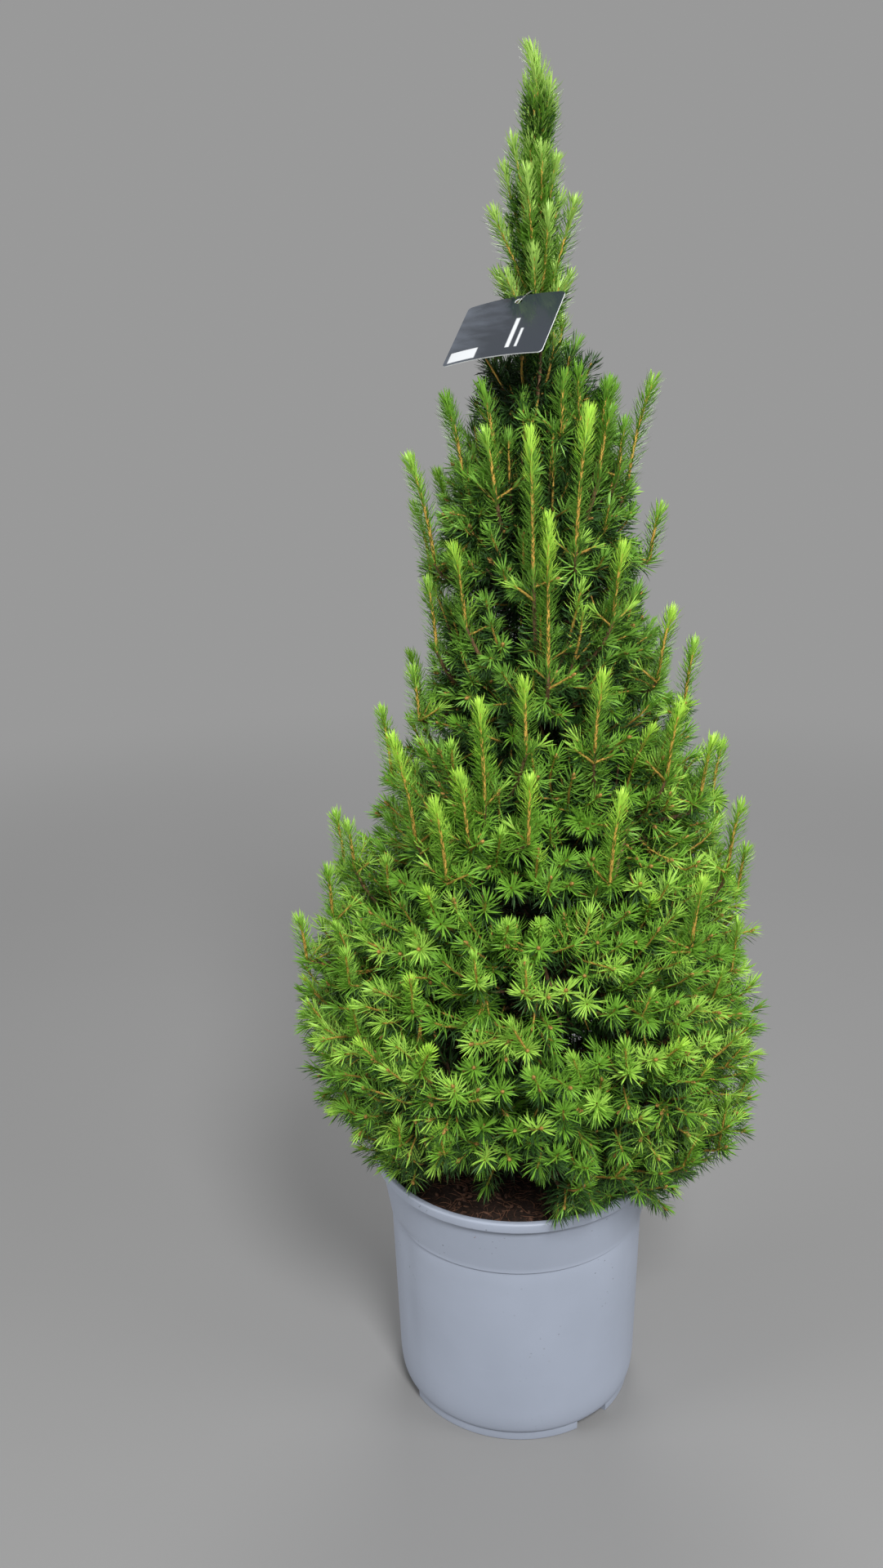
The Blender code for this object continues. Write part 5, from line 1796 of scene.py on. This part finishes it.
# %% Growing the spire
WOODY_SHARE = 0.38
KNEE_SHARE = 0.7
SPIRAL_SCATTER = 0.2
STEEP_TURN_AT = (0.5, 0.8)
STEEP_BUD_CHANCE = 0.15
LEAST_RADIUS = 4 * MM
SPIRE = Habit(13.0 * MM, 3600, radians(66), radians(46))
Flight = namedtuple("Flight", "foot top step outline share inset drop habit")
FLIGHTS = (
    Flight(775 * MM, SPIRE_FOOT, 1.7 * MM, surface, (0.30, 0.97), 8 * MM, (52 * MM, 80 * MM), TUFT),
    Flight(SPIRE_FOOT, 1066 * MM, 3.6 * MM, crown_reach, (0.35, 0.85), 7 * MM, (34 * MM, 50 * MM), SPIRE),
)
SPIRE_SHOOTS = (
    (25, 1012, 27, 1050, 3), (21, 978, 20, 1019, -13), (15, 936, 9, 1004, -21), (6, 990, 1, 1025, -3),
    (5, 958, -4, 1008, 4), (8, 928, -13, 979, -8), (26, 918, 43, 985, -8), (25, 950, 34, 989, 8),
    (9, 902, -5, 937, -19), (21, 898, 32, 930, -20), (16, 884, 14, 952, -22), (22, 926, 24, 978, -20),
    (18, 940, 17, 1002, 20), (10, 928, 0, 975, 19), (26, 920, 34, 962, 19), (14, 985, 12, 1030, 12),
    (22, 960, 30, 1012, -6), (18, 898, 12, 935, 26), (6, 900, -9, 940, 12), (30, 900, 41, 938, 8),
    (21, 1034, 15, 1072, -5), (24, 1032, 26, 1060, -4), (20, 1026, 18, 1064, 7),
)
LEADER_BEND = ((20, 1030), (23, 1046), (20, 1066), (13.5, 1083.5))
LEADER = Habit(14.0 * MM, 4600, radians(62), radians(36))
LEADER_GIRTH = 1.5 * MM
CLOTHED_TRUNK = Habit(12.5 * MM, 2600, radians(58), radians(36))
CLOTHED_FOOT = 800 * MM
CLOTHED_GIRTH = 2.2 * MM


def steep_shoot(azimuth, height, radius, drop, habit, rng):
    """A steep shoot from the trunk to a tip beside it."""
    knee = crown_point(azimuth, radius, height - KNEE_SHARE * drop)
    path = curve(trunk_centre(height - drop), knee, crown_point(azimuth, radius, height), 8)
    if not blocked(path).any():
        tints = tints_of(Vector(path[-1]), rng)
        old_twigs.grow(part_of(path, 0, WOODY_SHARE), (OLD_GIRTH, STEM_GIRTH))
        turn_at = rng.uniform(*STEEP_TURN_AT)
        grow_shoot(part_of(path, WOODY_SHARE, 1), habit, tints, rng, STEM_GIRTH, turn_at, STEEP_BUD_CHANCE)


for flight in FLIGHTS:
    for number in range(int((flight.top - flight.foot) / flight.step)):
        height = flight.foot + number * flight.step
        azimuth = number * GOLDEN_TURN + crown_rng.normal(0, SPIRAL_SCATTER)
        reach = flight.outline(height, azimuth) * crown_rng.uniform(*flight.share) - flight.inset
        drop = crown_rng.uniform(*flight.drop)
        steep_shoot(azimuth, height, max(LEAST_RADIUS, reach), drop, flight.habit, crown_rng)
for foot, low, side, high, depth in SPIRE_SHOOTS:
    start = trunk_centre((low - 14) * MM)
    tip = Vector((side, depth, high)) * MM
    knee = Vector((foot, depth, low + 6)) * MM
    grow_shoot(curve(start, knee, tip, 9), SPIRE, ("cool_leaf", "pale"), crown_rng, STEM_GIRTH, 0.68,
               stems=strong_stems)

clothed = np.array([trunk_centre(height) for height in np.linspace(CLOTHED_FOOT, TRUNK_TOP, 14)])
clothe(clothed, CLOTHED_TRUNK, CLOTHED_GIRTH, crown_rng, ("cool_deep", "cool_leaf"), 0.6)
top_path = np.array([trunk_centre(1.0)] + [Vector((x, 0, z)) * MM for x, z in LEADER_BEND])
grow_shoot(top_path, LEADER, ("cool_leaf", "pale"), crown_rng, LEADER_GIRTH, 0.55, stems=strong_stems)
print("triangles in needles:", sum(part.triangles() for part in needles.values()),
      "stems:", young_stems.triangles() + strong_stems.triangles() + old_twigs.triangles(),
      "buds:", buds.triangles())

# %% [markdown]
# ## From bundles to pieces
#
# Each tint becomes one or more joined meshes, kept under two hundred thousand triangles. Together they
# stand for the foliage of the frame. A needle is too narrow for a pattern to show, so its material is one
# plain green with a little wax on it.

# %% Needle pieces
MOST_TRIANGLES = 190000
WAXY_GLOSS = 0.30
foliage_nodes = [node for node in NODES if node.startswith("foliage")] + ["leader_shoot"]


def needle_material(name, tint):
    """A plain, slightly waxy green."""
    material, _, shader = start_material(f"needle_{name}", tint.colour, tint.roughness)
    shader.inputs["Specular IOR Level"].default_value = WAXY_GLOSS
    return material


for name, bundle in needles.items():
    material = needle_material(name, TINTS[name])
    for mesh in bundle.meshes(f"needles_{name}", MOST_TRIANGLES):
        link_piece(mesh.name, mesh, foliage_nodes, [material])

# %% [markdown]
# The stems and buds get patterned materials, because a tube is large enough to show them: orange young
# wood, browner where it is older.

# %% Stem and bud pieces
young_bark = bark_material("young_bark", (0.29, 0.155, 0.022), (0.54, 0.330, 0.060), 520)
brown_bark = bark_material("brown_bark", (0.050, 0.028, 0.014), (0.170, 0.090, 0.040), 480)
bud_scales = bark_material("bud_scales", (0.15, 0.068, 0.014), (0.46, 0.255, 0.062), 700)
for bundle, name, material in ((young_stems, "young_stems", young_bark), (buds, "buds", bud_scales),
                               (strong_stems, "strong_stems", young_bark),
                               (old_twigs, "old_twigs", brown_bark)):
    for mesh in bundle.meshes(name, MOST_TRIANGLES):
        link_piece(mesh.name, mesh, materials=[material])

# %% [markdown]
# ## Loose bits on the soil
#
# Fibres are thin tubes that lie in short arcs. Chips are bud shapes pressed flat, which is close enough to
# a bit of bark a few millimetres long.

# %% Fibres and chips
FIBRES = 900
CHIPS = 420
SOIL_EDGE = 112 * MM
FIBRE_LENGTH = (5, 16)
FIBRE_RADII = (0.18 * MM, 0.30 * MM, 0.12 * MM)
FIBRE_LIFT = 0.15 * MM
CHIP_LENGTH = (2.5, 7)
CHIP_WIDTH = 0.30
CHIP_LIFT = 0.4 * MM
CHIP_FLATNESS = 0.4
TILT = 0.16
fibres = Tubes(5, 4)
chips = Bundle(buds.faces)
litter_rng = np.random.default_rng(SEED + 1)
for number in range(FIBRES + CHIPS):
    spread = SOIL_EDGE * litter_rng.uniform() ** 0.5
    turn = litter_rng.uniform(0, 2 * pi)
    x, y = spread * cos(turn), spread * sin(turn)
    heading = litter_rng.uniform(0, 2 * pi)
    way = np.array((cos(heading), sin(heading), litter_rng.normal(0, TILT)))
    spot = np.array((x, y, soil_top(x, y)))
    if number < FIBRES:
        reach = litter_rng.uniform(*FIBRE_LENGTH) * MM
        bend = litter_rng.normal(0, TILT, 3) * reach * (1, 1, 0.3)
        path = straight(spot - way * reach / 2, spot + way * reach / 2, bend)
        path[:, 2] = [max(point[2], soil_top(point[0], point[1]) + FIBRE_LIFT) for point in path]
        fibres.grow(path, FIBRE_RADII)
    else:
        reach = litter_rng.uniform(*CHIP_LENGTH) * MM
        chip = bud_shape(spot - way * reach / 2, way, reach, reach * CHIP_WIDTH)
        chip[..., 2] = spot[2] + CHIP_LIFT + (chip[..., 2] - spot[2]) * CHIP_FLATNESS
        chips.add(chip)
fibre_bark = bark_material("peat_fibre", (0.080, 0.034, 0.018), (0.290, 0.135, 0.075), 300)
chip_bark = bark_material("bark_chip", (0.035, 0.018, 0.012), (0.210, 0.105, 0.065), 260)
link_piece("peat_fibres", fibres.meshes("peat_fibres", MOST_TRIANGLES)[0], materials=[fibre_bark])
link_piece("bark_chips", chips.meshes("bark_chips", MOST_TRIANGLES)[0], materials=[chip_bark])

# %% [markdown]
# ## The hanging card
#
# The card is printed plastic, thin enough to bow. A flat grid gets round corners, a hole is punched in it,
# and then every point is carried to the card's own place by how far it lies along and up the card. A UV
# map keeps those two shares, so the print can follow the card wherever it hangs. The print is generic: a
# dark ground with a pale panel and two plain bars.

# %% The card's mesh
CARD_THICKNESS = 0.8 * MM
CARD_BOW = 2.5 * MM
CARD_CORNER_RADIUS = 3.0 * MM
CARD_CORNER_STEPS = 5
CARD_HOLE_SHARE = 0.56
CARD_HOLE_INSET = 6 * MM
CARD_HOLE_RADIUS = 2.9 * MM
CARD_HOLE_SEGMENTS = 28
CARD_STRIPS = 30
CARD_SHARP = radians(40)


def card_place(right, above, lift=0.0):
    """The point of the bowed card at a distance along it, up it and out of its middle."""
    forth, up, out, length, _ = card_frame()
    share = right / length
    return CARD_CORNER + forth * right + up * above + out * (lift + CARD_BOW * 4 * share * (1 - share))


def make_card():
    """The card: flat with round corners and a hole, then bowed and hung."""
    _, _, _, length, height = card_frame()
    bm = bmesh.new()
    bmesh.ops.create_grid(bm, x_segments=1, y_segments=1, size=0.5)
    for vert in bm.verts:
        vert.co = Vector(((vert.co.x + 0.5) * length, (vert.co.y + 0.5) * height, 0))
    bmesh.ops.bevel(bm, geom=bm.verts[:], offset=CARD_CORNER_RADIUS, segments=CARD_CORNER_STEPS, profile=0.5,
                    affect="VERTICES", material=-1)
    punched = bmesh.ops.create_circle(bm, segments=CARD_HOLE_SEGMENTS, radius=CARD_HOLE_RADIUS)["verts"]
    hole_centre = Vector((CARD_HOLE_SHARE * length, height - CARD_HOLE_INSET, 0))
    bmesh.ops.translate(bm, verts=punched, vec=hole_centre)
    bmesh.ops.delete(bm, geom=bm.faces[:], context="FACES_ONLY")
    bmesh.ops.triangle_fill(bm, edges=bm.edges[:], use_beauty=True)
    for step in range(1, CARD_STRIPS):
        cut = Vector((length * step / CARD_STRIPS, 0, 0))
        bmesh.ops.bisect_plane(bm, geom=bm.verts[:] + bm.edges[:] + bm.faces[:], plane_co=cut,
                               plane_no=(1, 0, 0))
    shares = bm.loops.layers.uv.new("print")
    for face in bm.faces:
        for loop in face.loops:
            loop[shares].uv = (loop.vert.co.x / length, loop.vert.co.y / height)
    bmesh.ops.recalc_face_normals(bm, faces=bm.faces)
    if sum(face.normal.z for face in bm.faces) < 0:
        bmesh.ops.reverse_faces(bm, faces=bm.faces)
    fronts = bm.faces[:]
    made = bmesh.ops.extrude_face_region(bm, geom=fronts, use_keep_orig=True)["geom"]
    lifted = [item for item in made if isinstance(item, bmesh.types.BMVert)]
    bmesh.ops.translate(bm, verts=lifted, vec=(0, 0, CARD_THICKNESS))
    bmesh.ops.recalc_face_normals(bm, faces=bm.faces)
    bm.normal_update()
    for face in bm.faces:
        face.material_index = int(abs(face.normal.z) < 0.5)
    for vert in bm.verts:
        vert.co = card_place(vert.co.x, vert.co.y, vert.co.z - CARD_THICKNESS / 2)
    return mesh_of("card", bm, CARD_SHARP)


print("the card bows by", round(CARD_BOW / MM, 1), "mm")

# %% [markdown]
# The tie is a thin loop of milky plastic. It passes through the hole, goes over the card's top edge and
# closes behind the trunk. A circle is fitted through the two places at the card, so large that its far side
# just clears the bark: a few rounds of correction find it. A small circle is then spun along it.

# %% The tie's mesh
TIE_RADIUS = 0.4 * MM
TIE_RISE = 2 * MM
TIE_SHIFT = 5 * MM
TIE_ROUNDS = 20
TIE_SIDES = 12
TIE_SEGMENTS = 72


def make_tie():
    """The tie: a thin ring through the hole, over the card's top edge and round behind the trunk."""
    forth, _, _, length, height = card_frame()
    hole = card_place(CARD_HOLE_SHARE * length, height - CARD_HOLE_INSET)
    over = card_place(CARD_HOLE_SHARE * length, height + TIE_RISE) + forth * TIE_SHIFT
    middle = (hole + over) / 2
    half = (over - hole).length / 2
    side = (over - hole).normalized()
    trunk_spot = trunk_centre(middle.z) - middle
    aside = trunk_spot.dot(side)
    towards = (trunk_spot - side * aside).normalized()
    room = trunk_radius(middle.z) + GAP + TIE_RADIUS
    far = trunk_spot.length + room
    for _ in range(TIE_ROUNDS):
        offset = (far ** 2 - half ** 2) / (2 * far)
        radius = hypot(offset, half)
        far += room - (radius - hypot(trunk_spot.dot(towards) - offset, aside))
    centre = middle + towards * offset
    bm = bmesh.new()
    turn = side.to_track_quat("Z", "Y").to_matrix().to_4x4()
    start = Matrix.Translation(centre + towards * radius)
    ring = bmesh.ops.create_circle(bm, segments=TIE_SIDES, radius=TIE_RADIUS, matrix=start @ turn)["verts"]
    bmesh.ops.spin(bm, geom=ring + bm.edges[:], cent=centre, axis=towards.cross(side), angle=2 * pi,
                   steps=TIE_SEGMENTS, use_merge=True)
    bm.normal_update()
    bmesh.ops.recalc_face_normals(bm, faces=bm.faces)
    print("the tie's ring is", round(radius / MM, 1), "mm in radius")
    return mesh_of("tie", bm)


# %% [markdown]
# The print is worked out from the card's UV shares: a box of shares is the product of four soft steps. The
# ground is glossy and crossed by faint streaks, and a painted reflection lightens it towards its left. The
# cut edge is bare white plastic.

# %% The card's finish
SLATE = (0.024, 0.030, 0.040)
SLATE_REFLECTION = (0.082, 0.096, 0.122)
PANEL = (0.62, 0.64, 0.66)
PANEL_BOX = (0.045, 0.33, 0.035, 0.20)
BAR_BOXES = ((0.62, 0.66, 0.12, 0.60), (0.71, 0.735, 0.12, 0.42))
SOFT_EDGE = 0.006


def uv_box(tree, u, v, box):
    """One inside a box of shares and nothing outside it."""
    steps = [remap(tree, value, (edge - soft, edge + soft))
             for value, edge, soft in ((u, box[0], SOFT_EDGE), (u, box[1], -SOFT_EDGE),
                                       (v, box[2], SOFT_EDGE), (v, box[3], -SOFT_EDGE))]
    amount = steps[0]
    for step in steps[1:]:
        amount = reckon(tree, "MULTIPLY", amount, step)
    return amount


def card_material():
    """Glossy slate print with a pale panel, two plain bars and a painted reflection towards its left."""
    material, tree, shader = start_material("slate_print", SLATE, 0.22)
    shares = add_node(tree, "ShaderNodeUVMap", uv_map="print").outputs["UV"]
    parts = add_node(tree, "ShaderNodeSeparateXYZ", {"Vector": shares})
    u, v = parts.outputs["X"], parts.outputs["Y"]
    streaks = noise_at(tree, object_place(tree, (1, 1, 5)), 40, 3)
    # Painted reflection: the slate grows lighter towards the card's left.
    colour = ramp(tree, reckon(tree, "ADD", u, streaks), ((0.35, SLATE_REFLECTION), (0.95, SLATE)))
    for box in (PANEL_BOX, *BAR_BOXES):
        colour = blend_colours(tree, uv_box(tree, u, v, box), colour, PANEL)
    paint(tree, shader, colour)
    shader.inputs["Coat Weight"].default_value = 0.5
    bump(tree, shader, noise_at(tree, object_place(tree), 90, 2), 0.08 * MM, 0.4)
    return material


def edge_material():
    """The white cut edge of the card."""
    material, tree, shader = start_material("card_edge", (0.75, 0.76, 0.78), 0.5)
    fine = noise_at(tree, object_place(tree), 300)
    paint(tree, shader, ramp(tree, fine, ((0.3, (0.62, 0.63, 0.66)), (0.7, (0.80, 0.81, 0.83)))))
    return material


def tie_material():
    """Milky, nearly clear plastic."""
    material, tree, shader = start_material("tie_milky", (0.70, 0.71, 0.69), 0.25)
    shader.inputs["Transmission Weight"].default_value = 0.85
    cloud = noise_at(tree, object_place(tree), 120)
    paint(tree, shader, ramp(tree, cloud, ((0.3, (0.60, 0.61, 0.59)), (0.7, (0.76, 0.77, 0.75)))))
    return material


link_piece("card", make_card(), ["plant_label"], [card_material(), edge_material()])
link_piece("tie", make_tie(), ["label_tie"], [tie_material()])

# %% [markdown]
# ## Measure the finished plant
#
# The finished plant has to be the size of the solids, so both boxes are gathered side by side, and the looks
# box is printed.

# %% Gather the boxes and print the looks box
boxes = {"solids": solid_bounds, "looks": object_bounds()}
{name: [list(corner) for corner in box] for name, box in boxes.items()}
print("looks box:", [[round(part, 4) for part in corner] for corner in boxes["looks"]])
